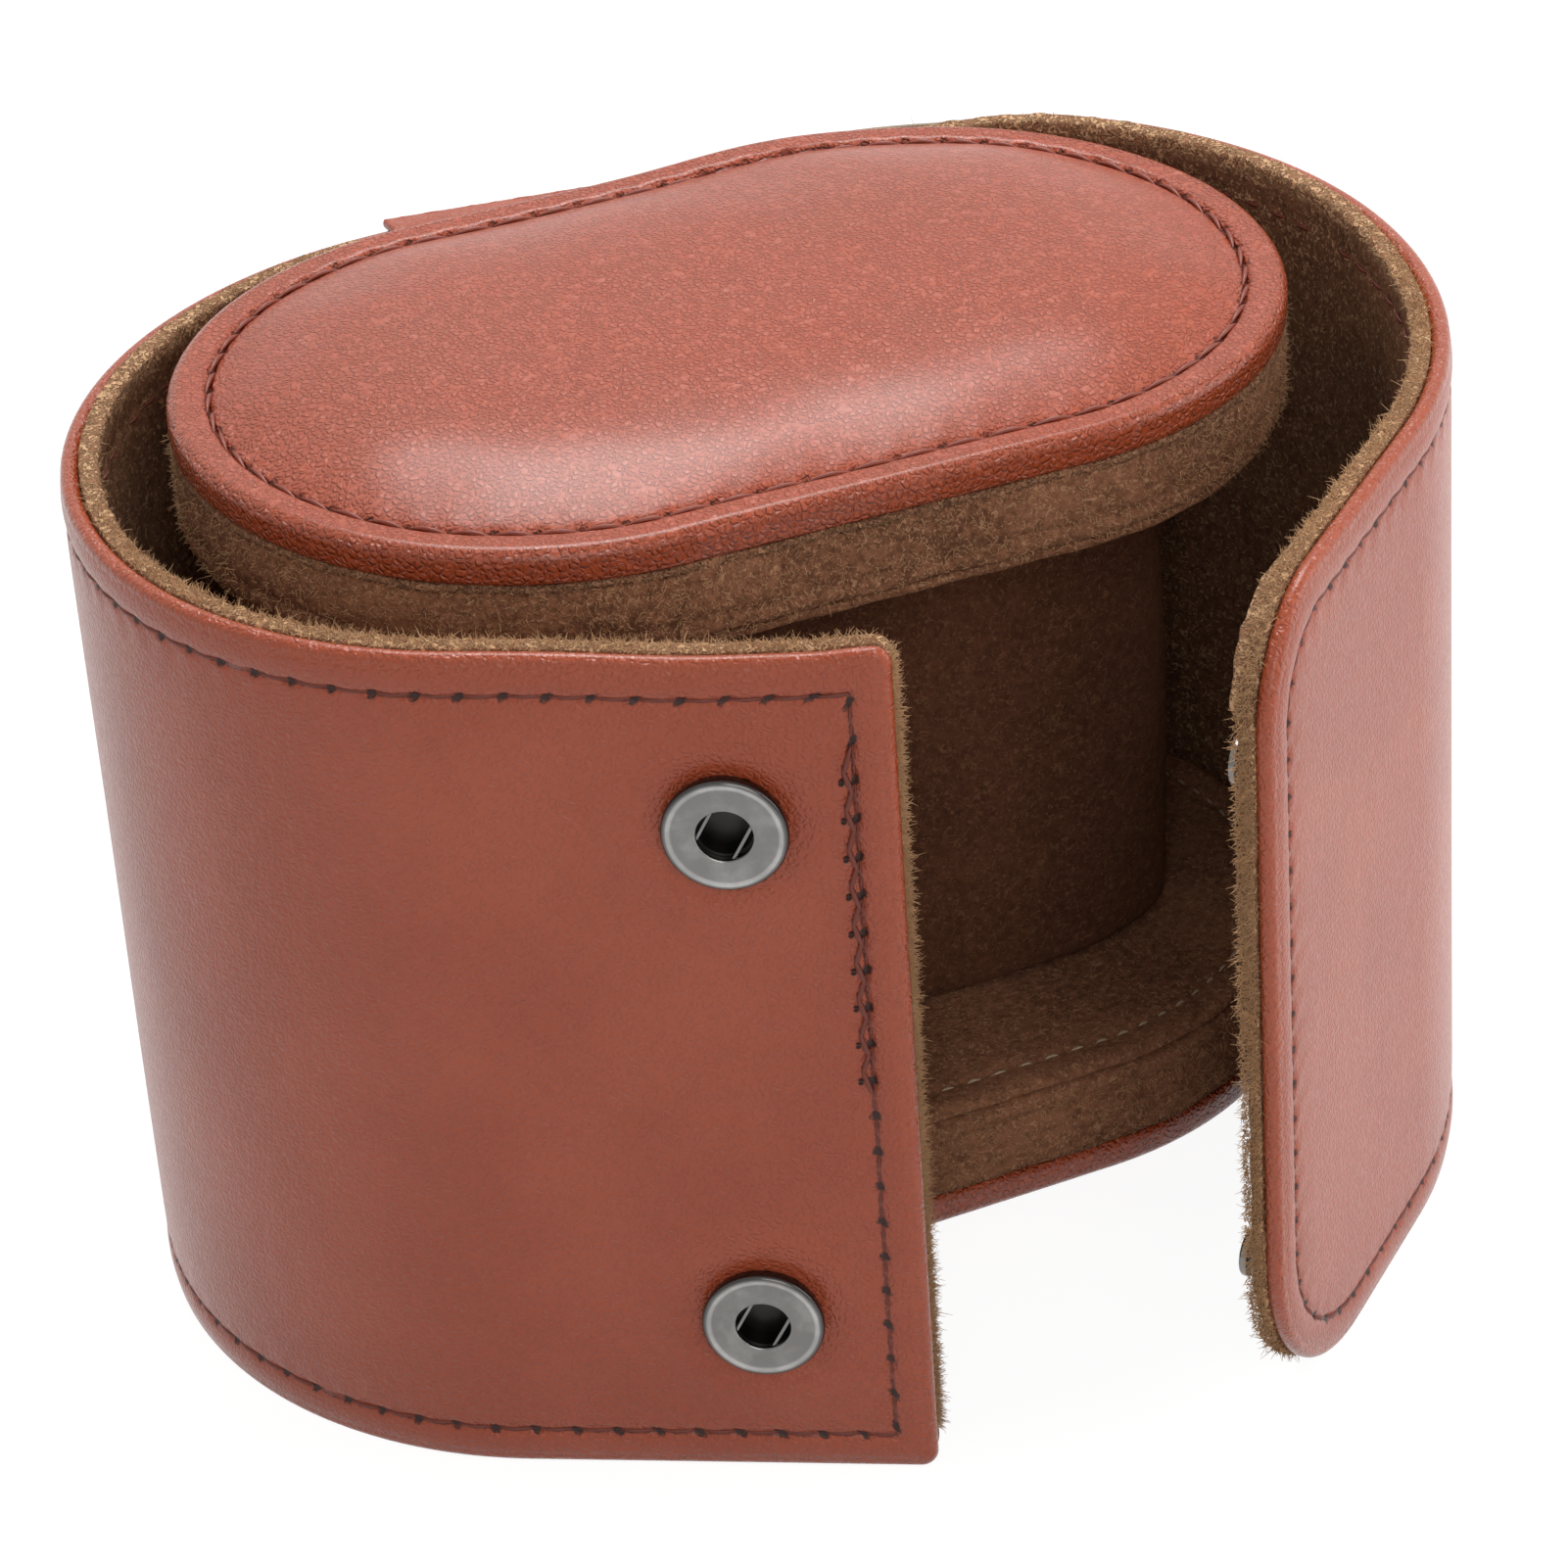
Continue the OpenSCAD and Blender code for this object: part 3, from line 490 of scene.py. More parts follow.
def leather_relief(d, count, u, z):
    """Outward rise of the leather: a soft roll beside the edge, a groove at the stitch that pulls in at each
    hole, and a slow swell over the sheet. A sum of sines and bells of the distance d in from the edge."""
    roll = 0.16 * np.sin(np.pi * np.clip((d - 0.9) / (STITCH - 0.9), 0, 1))
    dip = 0.22 + 0.16 * np.cos(2 * np.pi * count)
    groove = dip * bump(d - STITCH, 0.36)
    swell = 0.1 * smooth(d, STITCH, 7) + 0.07 * np.cos(2 * np.pi * count) * bump(d - STITCH - 0.9, 0.8)
    drift = 0.02 * np.sin(u * 0.19) * np.cos(z * 0.13) + 0.03 * np.sin(u * 0.071 + z * 0.05)
    return (roll - groove + swell + drift * smooth(d, 0, 2)) * smooth(d, 0.4, 1.0)


def strip_leather(name, start, end):
    """Leather of a stretch between two cuts: the border's rows at both rims and coarser rows between."""
    columns = max(int(abs(end - start) / 0.55), 8)
    u = np.linspace(start, end, columns)[None, :]
    count = u / PITCH
    d, depth = leather_rows(9)
    between = np.linspace(10, HEIGHT - 10, 22)
    z = np.concatenate([d, between, HEIGHT - d[::-1]])[:, None]
    deep = np.concatenate([depth, np.zeros(22), depth[::-1]])[:, None]
    inside = np.minimum(z, HEIGHT - z)
    rise = leather_relief(inside, count, u, z) * (deep == 0)
    points = on_wrap(u + 0 * z, z + 0 * u, deep - rise)
    uv = np.stack([count + 0 * z, inside + 0 * u], -1)
    return add_surface(name, points, leather, uv)


class FlapMap:
    """Loops parallel to a flap's outline. Columns run from the cut along the top rim, round the upper corner,
    down the free edge, round the lower corner and back along the bottom rim: kinds 0 to 4."""

    RIM_COLUMNS = 72
    CORNER_COLUMNS = 22
    EDGE_COLUMNS = 120

    def __init__(self, side, margin=0.0):
        self.side, self.margin = side, margin
        self.start = side.back + side.cuts[2]
        ends = [self.RIM_COLUMNS, self.CORNER_COLUMNS]
        runs = ends + [self.EDGE_COLUMNS] + ends[::-1]
        self.kind = np.concatenate([np.full(n, i) for i, n in enumerate(runs)])
        self.share = np.concatenate([(np.arange(n) + (i == 4)) / n for i, n in enumerate(runs)])
        ring = self.ring(np.full((1, len(self.kind)), STITCH))
        step = np.hypot(*np.diff(np.stack(ring)[:, 0], axis=1))
        length = np.concatenate([[0], np.cumsum(step)])
        turned = (self.kind > 0) & (self.kind < 4)
        first, last = np.argmax(turned), len(turned) - np.argmax(turned[::-1])
        turned_length = length[last] - length[first]
        straight_length = 2 * self.start + length[-1] - turned_length
        whole = round((2 * self.start + length[-1]) / PITCH)
        scale = (whole * PITCH - straight_length) / turned_length
        bent = np.clip(length - length[first], 0, turned_length)
        self.count = (self.start + length + bent * (scale - 1)) / PITCH

    def ring(self, d):
        """Distance along the wrap and height of the loop that lies d inside the outline."""
        side, high = self.side, HEIGHT
        inset = np.where(d < 8, d, 8 + 0.6 * (d - 8)) + self.margin
        top = d + self.margin
        least = 0.3 * (1 - top / (high / 2))
        upper_r = np.maximum(side.top_r - d, least)
        lower_r = np.maximum(side.bottom_r - d, least)
        far = side.end - inset
        kind, share = self.kind[None, :], self.share[None, :]
        a = (1 - share) * np.pi / 2
        b = -share * np.pi / 2
        edge_high, edge_low = high - top - upper_r, top + lower_r
        u = np.select([kind == 0, kind == 1, kind == 2, kind == 3, kind == 4], [
            self.start + share * (far - upper_r - self.start), far - upper_r + upper_r * np.cos(a),
            far + 0 * a, far - lower_r + lower_r * np.cos(b),
            self.start + (1 - share) * (far - lower_r - self.start)])
        z = np.select([kind == 0, kind == 1, kind == 2, kind == 3, kind == 4], [
            high - top + 0 * a, edge_high + upper_r * np.sin(a), edge_high + share * (edge_low - edge_high),
            edge_low + lower_r * np.sin(b), top + 0 * a])
        return u, z

    def stitch_in(self):
        """Distance of the stitch from the edge: the side's own along the free edge, with a smooth change in
        the corners."""
        change = smooth(self.share, 0, 1)
        turn = np.select([self.kind == 1, self.kind == 2, self.kind == 3], [change, 1.0, 1 - change], 0.0)
        return STITCH + (self.side.edge_stitch - STITCH) * turn

    def shifted(self, d):
        """Distances d moved so that the row at the nominal stitch distance lies on the real stitch."""
        extra = self.stitch_in() - STITCH
        share = np.where(d < STITCH, np.clip((d - 0.9) / (STITCH - 0.9), 0, 1),
                         1 - np.clip((d - STITCH) / (15 - STITCH), 0, 1))
        return d + extra * share


def snap_dimples(side, u, z):
    """Dip of the leather round each snap's ring and the hole inside it, on the socket side only."""
    if side is RIGHT:
        return 0 * u
    total = 0 * u
    for height in (SNAP_RIM, HEIGHT - SNAP_RIM):
        r = np.hypot(u - (side.end - SOCKET_IN), z - height)
        total = total + 0.34 * bump(r - 5.3, 1.5) - 0.16 * bump(r - 8.2, 1.8) + 1.55 * smooth(r, 4.4, 3.6)
    return total


def flap_leather(side):
    """Leather of a flap from its cut: the border's loops, then loops that shrink to its middle line."""
    shape = FlapMap(side)
    d, depth = leather_rows(9)
    d = np.concatenate([d, np.linspace(9.4, HEIGHT / 2, 36)])[:, None]
    deep = np.concatenate([depth, np.zeros(36)])[:, None]
    u, z = shape.ring(shape.shifted(d + 0 * shape.count))
    rise = leather_relief(d, shape.count[None, :], side.sign * u, z) * (deep == 0)
    points = on_wrap(side.sign * u, z, deep - rise + snap_dimples(side, u, z))
    uv = spread(shape.count[None, :], d + 0 * u)
    return add_surface(f"{side.name}_flap_skin", points, leather, uv, flip=side.sign > 0, weld=True)


def lining_rows(inner):
    """Rows of the lining's border, from its hidden face over the square cut edge to its suede face."""
    d = np.array([2.4, 0.25, 0.05, 0.0, 0.0, 0.05, 0.2, 0.5, 0.9, 1.5, 2.2, 3.0, 3.4, 3.7, 4.0, 4.5, 6.0,
                  8.0])
    depth = EDGE + np.array([0.06, 0.06, 0.15, 0.45, 1.1, 1.45, 1.62] + [LINING] * 11)
    keep = d < inner
    return d[keep], depth[keep]


def lining_relief(d, u, z):
    """Rise of the suede into the case: a lumpy cut edge, a sewn dip, and slow waves that stay below 0."""
    lumps = 0.12 * np.sin(u * 2.3) * np.sin(u * 0.9 + 1) + 0.07 * np.sin(u * 5.1 + z)
    wave = 0.04 * (np.sin(u * 0.21) - 1) * smooth(d, 4, 10)
    return (0.15 + lumps) * bump(d - 0.3, 1.2) - 0.2 * bump(d - 3.7, 0.4) + wave


LINING_IN = 0.1


def lining_rise(u):
    """How far the suede stands above the leather's rim: the back's ends, where it hides the leather."""
    return 0.75 * (smooth(u, 15, 28) * smooth(u, 104, 80) + smooth(u, -19, -24) * smooth(u, -92, -70))


def strip_lining(name, start, end, lift=None):
    """Suede of a stretch between two cuts, with its lower edge raised where lift asks for it."""
    columns = max(int(abs(end - start) / 0.5), 8)
    u = np.linspace(start, end, columns)[None, :]
    d, depth = lining_rows(9)
    between = np.linspace(0, 1, 20)[1:-1]
    low = LINING_IN + (lift(u) if lift else 0) + 0 * u
    high = HEIGHT - LINING_IN + lining_rise(u) + 0.12 * np.sin(u * 1.7) * np.sin(u * 0.37)
    z = np.concatenate([low + d[:, None], low + 9 + (high - low - 18) * between[:, None],
                        high - d[::-1, None]])
    deep = np.concatenate([depth, np.full(18, WALL), depth[::-1]])[:, None] + 0 * u
    inside = np.minimum(z - low, high - z)
    rise = lining_relief(inside, u, z)
    points = on_wrap(u + 0 * z, z, deep + rise * (deep > EDGE + 0.3))
    uv = spread(u / PITCH, inside)
    return add_surface(name, points, suede, uv, flip=True)


def flap_lining(side):
    """Suede of a flap, which reaches the leather's free edge and peeps out beside it. The right flap's puffs
    out in its upper corner, and lies flat along its free edge and wherever it covers a snap."""
    shape = FlapMap(side, LINING_IN)
    d, depth = lining_rows(9)
    d = np.concatenate([d, np.linspace(9.4, HEIGHT / 2 - LINING_IN, 24)])[:, None]
    deep = np.concatenate([depth, np.full(24, WALL)])[:, None]
    u, z = shape.ring(d + 0 * shape.count)
    rise = lining_relief(d, u, z) * (deep > EDGE + 0.3)
    if side is RIGHT:
        down = np.select([shape.kind < 2, shape.kind == 2], [0.0, shape.share], 1.0)
        corner = (shape.kind == 1) * np.sin(np.pi * shape.share) ** 0.5
        puff = 0.7 * bump(d - 0.3, 1.0) * (corner - smooth(down, 0.1, 0.5))
        over_snap = smooth(np.abs(np.abs(z - HEIGHT / 2) - HEIGHT / 2 + SNAP_RIM), 9, 6)
        rise = np.minimum(rise + puff * smooth(deep, EDGE + 0.1, WALL - 0.2), 1.2 - 1.4 * over_snap)
    points = on_wrap(side.sign * u, z, deep + rise)
    uv = spread(shape.count[None, :], d + 0 * u)
    return add_surface(f"{side.name}_flap_suede", points, suede, uv, flip=side.sign < 0, weld=True)


def add_stitches(name, point_at, first, last, finish, radius=0.2, sink=0.32, arch=0.2, cover=0.8):
    """Stitches between whole numbers of the count. Each is a short tube that dips into its holes.
    point_at gives the points for a count and a rise above the surface."""
    starts = np.arange(math.ceil(first - 0.01), math.floor(last + 0.01))
    if len(starts) == 0:
        return None
    t = np.linspace(0, 1, 7)
    count = starts[:, None] + 0.5 + (t[None, :] - 0.5) * cover
    rise = -sink + arch * np.sin(np.pi * t)[None, :] + 0 * count
    lines = point_at(count, rise)
    radii = np.broadcast_to(radius * np.sqrt(np.sin(np.pi * np.clip(t, 0.03, 0.97))), count.shape)
    return add_tubes(name, lines, radii, finish)


def strip_stitches(name, start, end):
    """Stitches along both rims of a stretch, and inside along the top rim."""
    def outside(height):
        return lambda count, rise: on_wrap(count * PITCH, height, -rise)

    def inside(count, rise):
        return on_wrap(count * PITCH, HEIGHT - STITCH, WALL - 0.1 + rise)

    low, high = sorted((start / PITCH, end / PITCH))
    rows = [add_stitches("low", outside(STITCH), low, high, thread),
            add_stitches("high", outside(HEIGHT - STITCH), low, high, thread),
            add_stitches("inner", inside, low, high, thread, sink=0.1, arch=0.25, cover=0.7)]
    return join_pieces(name, [row for row in rows if row])


def join_pieces(name, rows):
    """One piece made of several, which keep their finishes."""
    work = bmesh.new()
    finishes = []
    for row in rows:
        finish = row.data.materials[0]
        finishes += [finish] if finish not in finishes else []
        polygons = row.data.polygons
        polygons.foreach_set("material_index", np.full(len(polygons), finishes.index(finish), np.int32))
        work.from_mesh(row.data)
    mesh = bpy.data.meshes.new(name)
    work.to_mesh(mesh)
    work.free()
    for finish in finishes:
        mesh.materials.append(finish)
    for row in rows:
        bpy.data.objects.remove(row)
    return add_object(name, mesh)


LOCK_WIDTH = 1.1


def flap_stitches(side):
    """Stitches round a flap. Down the left flap's free edge the seam is locked by stitches that slant to and
    fro, with a near-black tie at each turn that paints the shade in its needle hole."""
    shape = FlapMap(side)
    u, z = shape.ring(shape.stitch_in()[None, :])
    count, u, z = shape.count, u[0], z[0]

    def at(c, rise, shift=0.0):
        return on_wrap(side.sign * (np.interp(c, count, u) - shift), np.interp(c, count, z), -rise)

    rows = [add_stitches("row", at, count[0], count[-1], thread)]
    edge = count[shape.kind == 2]
    if side is LEFT:
        def slanted(ahead, start, stop):
            return lambda c, rise: at(c + ahead, rise + 0.28, start + (stop - start) * np.mod(c, 1))

        def tied(c, rise):
            return at(c + 0.5, rise + 0.25, LOCK_WIDTH)

        first, last = edge[0] + 0.5, edge[0] + 11
        rows += [add_stitches("lock_out", slanted(0.0, 0.0, LOCK_WIDTH), first, last, thread, radius=0.25),
                 add_stitches("lock_back", slanted(0.5, LOCK_WIDTH, 0.0), first, last, thread, radius=0.25),
                 add_stitches("hole_shade_ties", tied, first, last, hole_shade_thread, radius=0.28, cover=0.16)]
    return join_pieces(f"{side.name}_flap_stitches", rows)


def bend_piece(piece, side, fold):
    """Bakes the piece's transform into its mesh. It works out the ends of the fold's window, but the piece
    does not bend.
    """
    at = side.back + side.folds[fold]
    start, end = [tuple(on_wrap(side.sign * (at + step), 0.0, WALL / 2) * MM)
                  for step in (-side.window, side.window)]
    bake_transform(piece)


def tab_lift(u):
    """The back's lining stops above the lower tab."""
    return 9.2 * smooth(np.abs(u), 20.4, 19.9)


def make_wrap():
    """The leather, the suede and the stitches of each stretch; those of the back ride on its body."""
    back = (-LEFT.back, RIGHT.back)
    skin = strip_leather("back_skin", *back)
    nap = strip_lining("back_suede", *back, lift=tab_lift)
    sewn = strip_stitches("back_stitches", *back)
    for piece, nodes, slot in ((skin, ["back_leather"], "leather"), (nap, ["back_lining"], "suede"),
                               (sewn, [], "leather")):
        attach(piece, "back")
        if nodes:
            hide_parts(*nodes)
    for side in (LEFT, RIGHT):
        for fold, name in enumerate(side.bodies[1:]):
            if fold < 2:
                ends = sorted(side.sign * (side.back + cut) for cut in side.cuts[fold:fold + 2])
                made = (strip_leather(f"{name}_skin", *ends), strip_lining(f"{name}_suede", *ends),
                        strip_stitches(f"{name}_stitches", *ends))
            else:
                made = (flap_leather(side), flap_lining(side), flap_stitches(side))
            for piece, layer in zip(made, ("leather", "lining", None)):
                bend_piece(piece, side, fold)
                if layer:
                    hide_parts(f"{name}_{layer}")


make_wrap()


# The end pads

PAD_HALF = 18.75
PAD_R = 33.25
PAD_Y = -36.6
PAD_EDGE = 3.4
PAD_BAND = 7.6
PAD_DISC = 1.3
PAD_STITCH = 3.8
CROWN = 3.4
CROWN_POWER = 3.3
SEAM_Z = -0.4
SEAM_STITCHES = round((4 * PAD_HALF + 2 * math.pi * PAD_R) / PAD_PITCH)
TOP_PAD_Z = 86.7
TOP_LEAN = math.radians(1.6)
BOTTOM_PAD_Z = 7.0


def pad_around(straight=80, arc=180):
    """Places along a pad's outline: the end's axis, the outward direction and the length from the start.
    One half has the front straight and the right end, and the other half is the same turned round."""
    t = np.concatenate([np.arange(straight) / straight, 1 + np.arange(arc) / arc])
    turn = np.maximum(t - 1, 0) * math.pi
    x = PAD_HALF * (2 * np.minimum(t, 1) - 1)
    length = 2 * PAD_HALF * np.minimum(t, 1) + PAD_R * turn
    half = 2 * PAD_HALF + PAD_R * math.pi
    out_x, out_y = np.sin(turn), -np.cos(turn)

    def both(values, end):
        return np.concatenate([values, -values, [end]])

    return (both(x, x[0]), both(out_x, out_x[0]), both(out_y, out_y[0]),
            np.concatenate([length, length + half, [2 * half]]))


def place_top(points):
    """From the pad's frame to the upper pad's place, leaning to the right."""
    x, y, z = points[..., 0], points[..., 1], points[..., 2]
    return np.stack([x * math.cos(TOP_LEAN) + z * math.sin(TOP_LEAN), y + PAD_Y,
                     z * math.cos(TOP_LEAN) - x * math.sin(TOP_LEAN) + TOP_PAD_Z], -1)


def place_bottom(points):
    """From the pad's frame to the lower pad's place, upside down."""
    return points * (1, 1, -1) + (0, PAD_Y, BOTTOM_PAD_Z)


def on_pad(radius, height, around):
    """Points of a pad's frame at a distance from the ends' axis line and a height."""
    x, out_x, out_y, _ = around
    return spread(x + radius * out_x, radius * out_y, height)


def crown_height(radius):
    """Height of the padded crown: a flat-topped power curve that falls to the seam."""
    share = np.clip(radius / (PAD_R - PAD_STITCH), 0, 1)
    return SEAM_Z + (CROWN - SEAM_Z) * (1 - share ** CROWN_POWER)


def pad_leather(name, place, flip):
    """Leather cover of a pad, from its middle out: the crown, the sewn groove, the border's round nose and
    its edge turned under. Bells and sines of the place add puckers, slow waves and the upper pad's lift."""
    around = pad_around()
    length = around[3][None, :]
    count = length / length[0, -1] * SEAM_STITCHES
    stitch = PAD_R - PAD_STITCH
    crown = stitch * np.sin(np.linspace(0, 1, 26) * np.pi / 2) ** 0.9
    border = PAD_R - np.array([3.65, 3.45, 3.2, 2.8, 2.3, 1.8, 1.45])
    nose = np.radians(np.linspace(90, 0, 9))
    nose_r = 1.3
    side_z = np.array([-1.9, -2.5, -3.0, -3.3, -3.4, -3.4])
    side_r = PAD_R - np.array([0, 0.02, 0.08, 0.3, 0.8, 3.0])
    radius = np.concatenate([crown, border, PAD_R - nose_r + nose_r * np.cos(nose), side_r])[:, None]
    height = np.concatenate([crown_height(crown), [-0.32, -0.2, -0.08, -0.02, 0.0, 0.0, 0.0],
                             -nose_r + nose_r * np.sin(nose), side_z])[:, None]
    d = PAD_R - radius
    pull = 0.13 * np.cos(2 * np.pi * count)
    groove = (0.2 + pull) * bump(d - PAD_STITCH, 0.35)
    pucker = 0.02 * np.cos(2 * np.pi * count) * (bump(d - 5.0, 0.9) + 2.0 * bump(d - 2.6, 0.8))
    lap = 2 * np.pi * length / length[0, -1]
    wave = 0.16 * np.sin(lap * 9) * np.sin(lap * 4 + 1) * bump(d - 8, 5)
    top = smooth(-height, 1.4, 0.4) * smooth(radius, 0.0, 6)
    points = on_pad(radius + 0 * count, height + (pucker + wave - groove) * top, around)
    if not flip:
        lift = 0.65 * bump(points[..., 0] - 15, 9) * smooth(points[..., 1], 18, 31)
        points = points + lift[..., None] * (0, 0, 1)
    uv = spread(count, d)
    return add_surface(name, place(points), pad_hide, uv, flip=not flip, weld=True)


def pad_band(name, place, flip):
    """Suede band of a pad: a raw upper edge, a slack face and two sewn rolls beside the inner disc. Its
    profile goes round the pad, moved in and out by sines of the place."""
    around = pad_around()
    length = around[3][None, :]
    z = -PAD_EDGE - np.array([0.1, 0.0, 0.0, 0.25, 0.6, 1.2, 2.0, 3.0, 4.0, 4.8, 5.3, 5.6, 5.9, 6.3, 6.7, 7.1,
                              7.4, 7.6, 7.7])
    out = np.array([-1.6, -0.7, -0.1, 0.12, 0.1, 0.05, 0.05, 0.1, 0.12, 0.05, -0.1, -0.32, -0.12, 0.08, 0.1,
                    0.0, -0.25, -0.7, -1.8])
    lap = 2 * np.pi * length / length[0, -1]
    slack = 0.12 * np.sin(lap * 15) * np.sin(lap * 5 + 2) + 0.05 * np.sin(lap * 58)
    ripple = 0.07 * np.sin(lap * 94 + np.sin(lap * 31)) * bump(z[:, None] + PAD_EDGE + 5.8, 0.9)
    radius = PAD_R - 0.2 + out[:, None] + slack * 0.7 + ripple
    points = on_pad(radius, z[:, None] + 0.1 * np.sin(lap * 27), around)
    inside = np.abs(z + PAD_EDGE)[:, None] + 0 * length
    uv = spread(length / PITCH, inside)
    return add_surface(name, place(points), pad_suede, uv, flip=not flip)


def pad_disc(name, place, flip):
    """Inner suede disc of a pad: a rolled edge, a sewn line and an even middle."""
    around = pad_around()
    length = around[3][None, :]
    edge = PAD_R - 0.7
    low = -PAD_EDGE - PAD_BAND
    border = np.array([1.2, 0.4, 0.05, 0.0, 0.2, 0.6, 1.2, 2.2, 3.0, 3.3, 3.6, 4.2, 6.0])
    fall = np.array([0.0, 0.05, 0.35, 0.7, 1.05, 1.25, 1.35, 1.3, 1.2, 1.08, 1.2, 1.3, 1.3])
    radius = np.concatenate([edge - border, np.linspace(edge - 9, 0, 9)])[:, None]
    height = low - np.concatenate([fall, np.full(9, PAD_DISC)])[:, None]
    lap = 2 * np.pi * length / length[0, -1]
    lumps = 0.06 * np.sin(lap * 36) * smooth(radius, edge - 8, edge)
    points = on_pad(radius + 0 * length, height + lumps, around)
    uv = spread(length / PITCH, 1.2 + edge - radius)
    return add_surface(name, place(points), pad_suede, uv, flip=not flip, weld=True)


def pad_seam(name, place, inset, height, number, finish, slant=0.0, **shape):
    """Stitches all round a pad, at a distance in from its edge, each turned across the seam by its slant."""
    x, out_x, out_y, length = pad_around(600, 900)
    count = length / length[-1] * number
    up = 1 if height > -2 else -1

    def at(c, rise):
        across = PAD_R - inset + slant * (np.mod(c, 1) - 0.5)
        axis_x, turn_x, turn_y = (np.interp(np.mod(c, number), count, line) for line in (x, out_x, out_y))
        return place(np.stack([axis_x + across * turn_x, across * turn_y, height + up * rise], -1))

    return add_stitches(name, at, 0, number, finish, **shape)


def make_pad(word, place, flip):
    """One pad: its leather, band and disc, with their stitches."""
    body = f"{word}_pad"
    cover = pad_leather(f"{word}_pad_leather", place, flip)
    band = pad_band(f"{word}_pad_side", place, flip)
    disc = pad_disc(f"{word}_pad_inside", place, flip)
    outer_seam = pad_seam(f"{word}_pad_stitches", place, PAD_STITCH, SEAM_Z, SEAM_STITCHES, pad_thread,
                          radius=0.25, sink=0.12, arch=0.3, cover=0.98, slant=0.5)
    inner_seam = pad_seam(f"{word}_disc_stitches", place, 4.0, -PAD_EDGE - PAD_BAND - 1.05,
                          round(SEAM_STITCHES * 1.6), pale_thread, radius=0.15, sink=0.12, arch=0.26,
                          cover=0.6)
    for piece, slot, nodes in ((cover, "leather", [f"{word}_pad_cover"]),
                               (band, "suede", [f"{word}_pad_band"]),
                               (disc, "suede", [f"{word}_pad_disc"]),
                               (outer_seam, "leather", []),
                               (inner_seam, "suede", [])):
        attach(piece, body)
        if nodes:
            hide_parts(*nodes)


make_pad("top", place_top, False)
make_pad("bottom", place_bottom, True)


# The leather tabs

TAB_HALF = 19.5
TAB_T = 0.9


def ribbon(name, line, finish, sink=0.0):
    """Strap along a line in the YZ plane: a flat face, a rounded edge, the other face and the other edge,
    drawn together at both ends. sink is the share of the rim's sag that each place on the line follows."""
    line = np.asarray(line, float)
    ahead = np.gradient(line, axis=0)
    ahead /= np.linalg.norm(ahead, axis=1, keepdims=True)
    across = np.stack([-ahead[:, 1], ahead[:, 0]], -1)
    flat = np.linspace(1, -1, 50)
    arc = np.radians(np.linspace(90, 270, 7))[1:-1]
    wide = np.concatenate([flat * (TAB_HALF - 0.3), -TAB_HALF + 0.3 + 0.3 * np.cos(arc),
                           -flat * (TAB_HALF - 0.3), TAB_HALF - 0.3 - 0.3 * np.cos(arc), [TAB_HALF - 0.3]])
    thick = np.concatenate([np.ones(50), np.sin(arc), -np.ones(50), -np.sin(arc), [1]]) * TAB_T / 2
    full = np.ones(len(line))
    full[[0, -1]] = 0
    thick = thick * full[:, None]
    wrinkle = 0.05 * np.sin(wide * 2.1 + 1.5 * np.sin(wide * 0.7)) * (thick > 0)
    drop = rim_rise(wide) * np.broadcast_to(sink, len(line))[:, None]
    points = spread(wide, line[:, :1] + across[:, :1] * (thick + wrinkle),
                    line[:, 1:] + across[:, 1:] * (thick + wrinkle) + drop)
    uv = spread(0.5, TAB_HALF - np.abs(wide) + 6.0 + 0 * thick)
    return add_surface(name, points, finish, uv, weld=True)


def arc_line(*stops, steps=6):
    """Line through the stops, with a Catmull-Rom curve between each two."""
    stops = np.asarray(stops, float)
    t = np.linspace(0, len(stops) - 1, (len(stops) - 1) * steps + 1)
    i = np.clip(t.astype(int), 0, len(stops) - 2)
    f = (t - i)[:, None]
    before = stops[np.maximum(i - 1, 0)]
    after = stops[np.minimum(i + 2, len(stops) - 1)]
    a, b = stops[i], stops[i + 1]
    return 0.5 * (2 * a + (b - before) * f + (2 * before - 5 * a + 4 * b - after) * f ** 2
                  + (3 * a - before - 3 * b + after) * f ** 3)


def make_tabs():
    """The upper tab lies on the rim and enters the pad's edge; the lower one folds under the lower pad."""
    line = arc_line((0.9, 85.4), (0.9, 85.4), (-0.6, 85.5), (-1.8, 85.45), (-2.9, 85.0), (-4.2, 84.6),
                    (-9.0, 84.55))
    top = ribbon("top_tab", line, leather, smooth(line[:, 0], -4.2, -1.0))
    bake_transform(top)
    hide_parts("top_tab_wrap_half", "top_tab_pad_half")
    low = ribbon("bottom_tab", arc_line((-1.35, 8.2), (-1.35, 2.4), (-1.5, 1.2), (-1.95, 0.95), (-2.45, 1.4),
                                        (-2.6, 3.0), (-2.8, 6.0), (-3.6, 6.6), (-6.4, 6.55)), leather)
    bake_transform(low)
    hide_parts("bottom_tab_wrap_half", "bottom_tab_pad_half")


make_tabs()


# The pillow

PILLOW_A, PILLOW_B = 37.0, 15.0
PILLOW_LOW, PILLOW_HIGH = 19.6, 73.07
PILLOW_TURN = math.radians(-12)


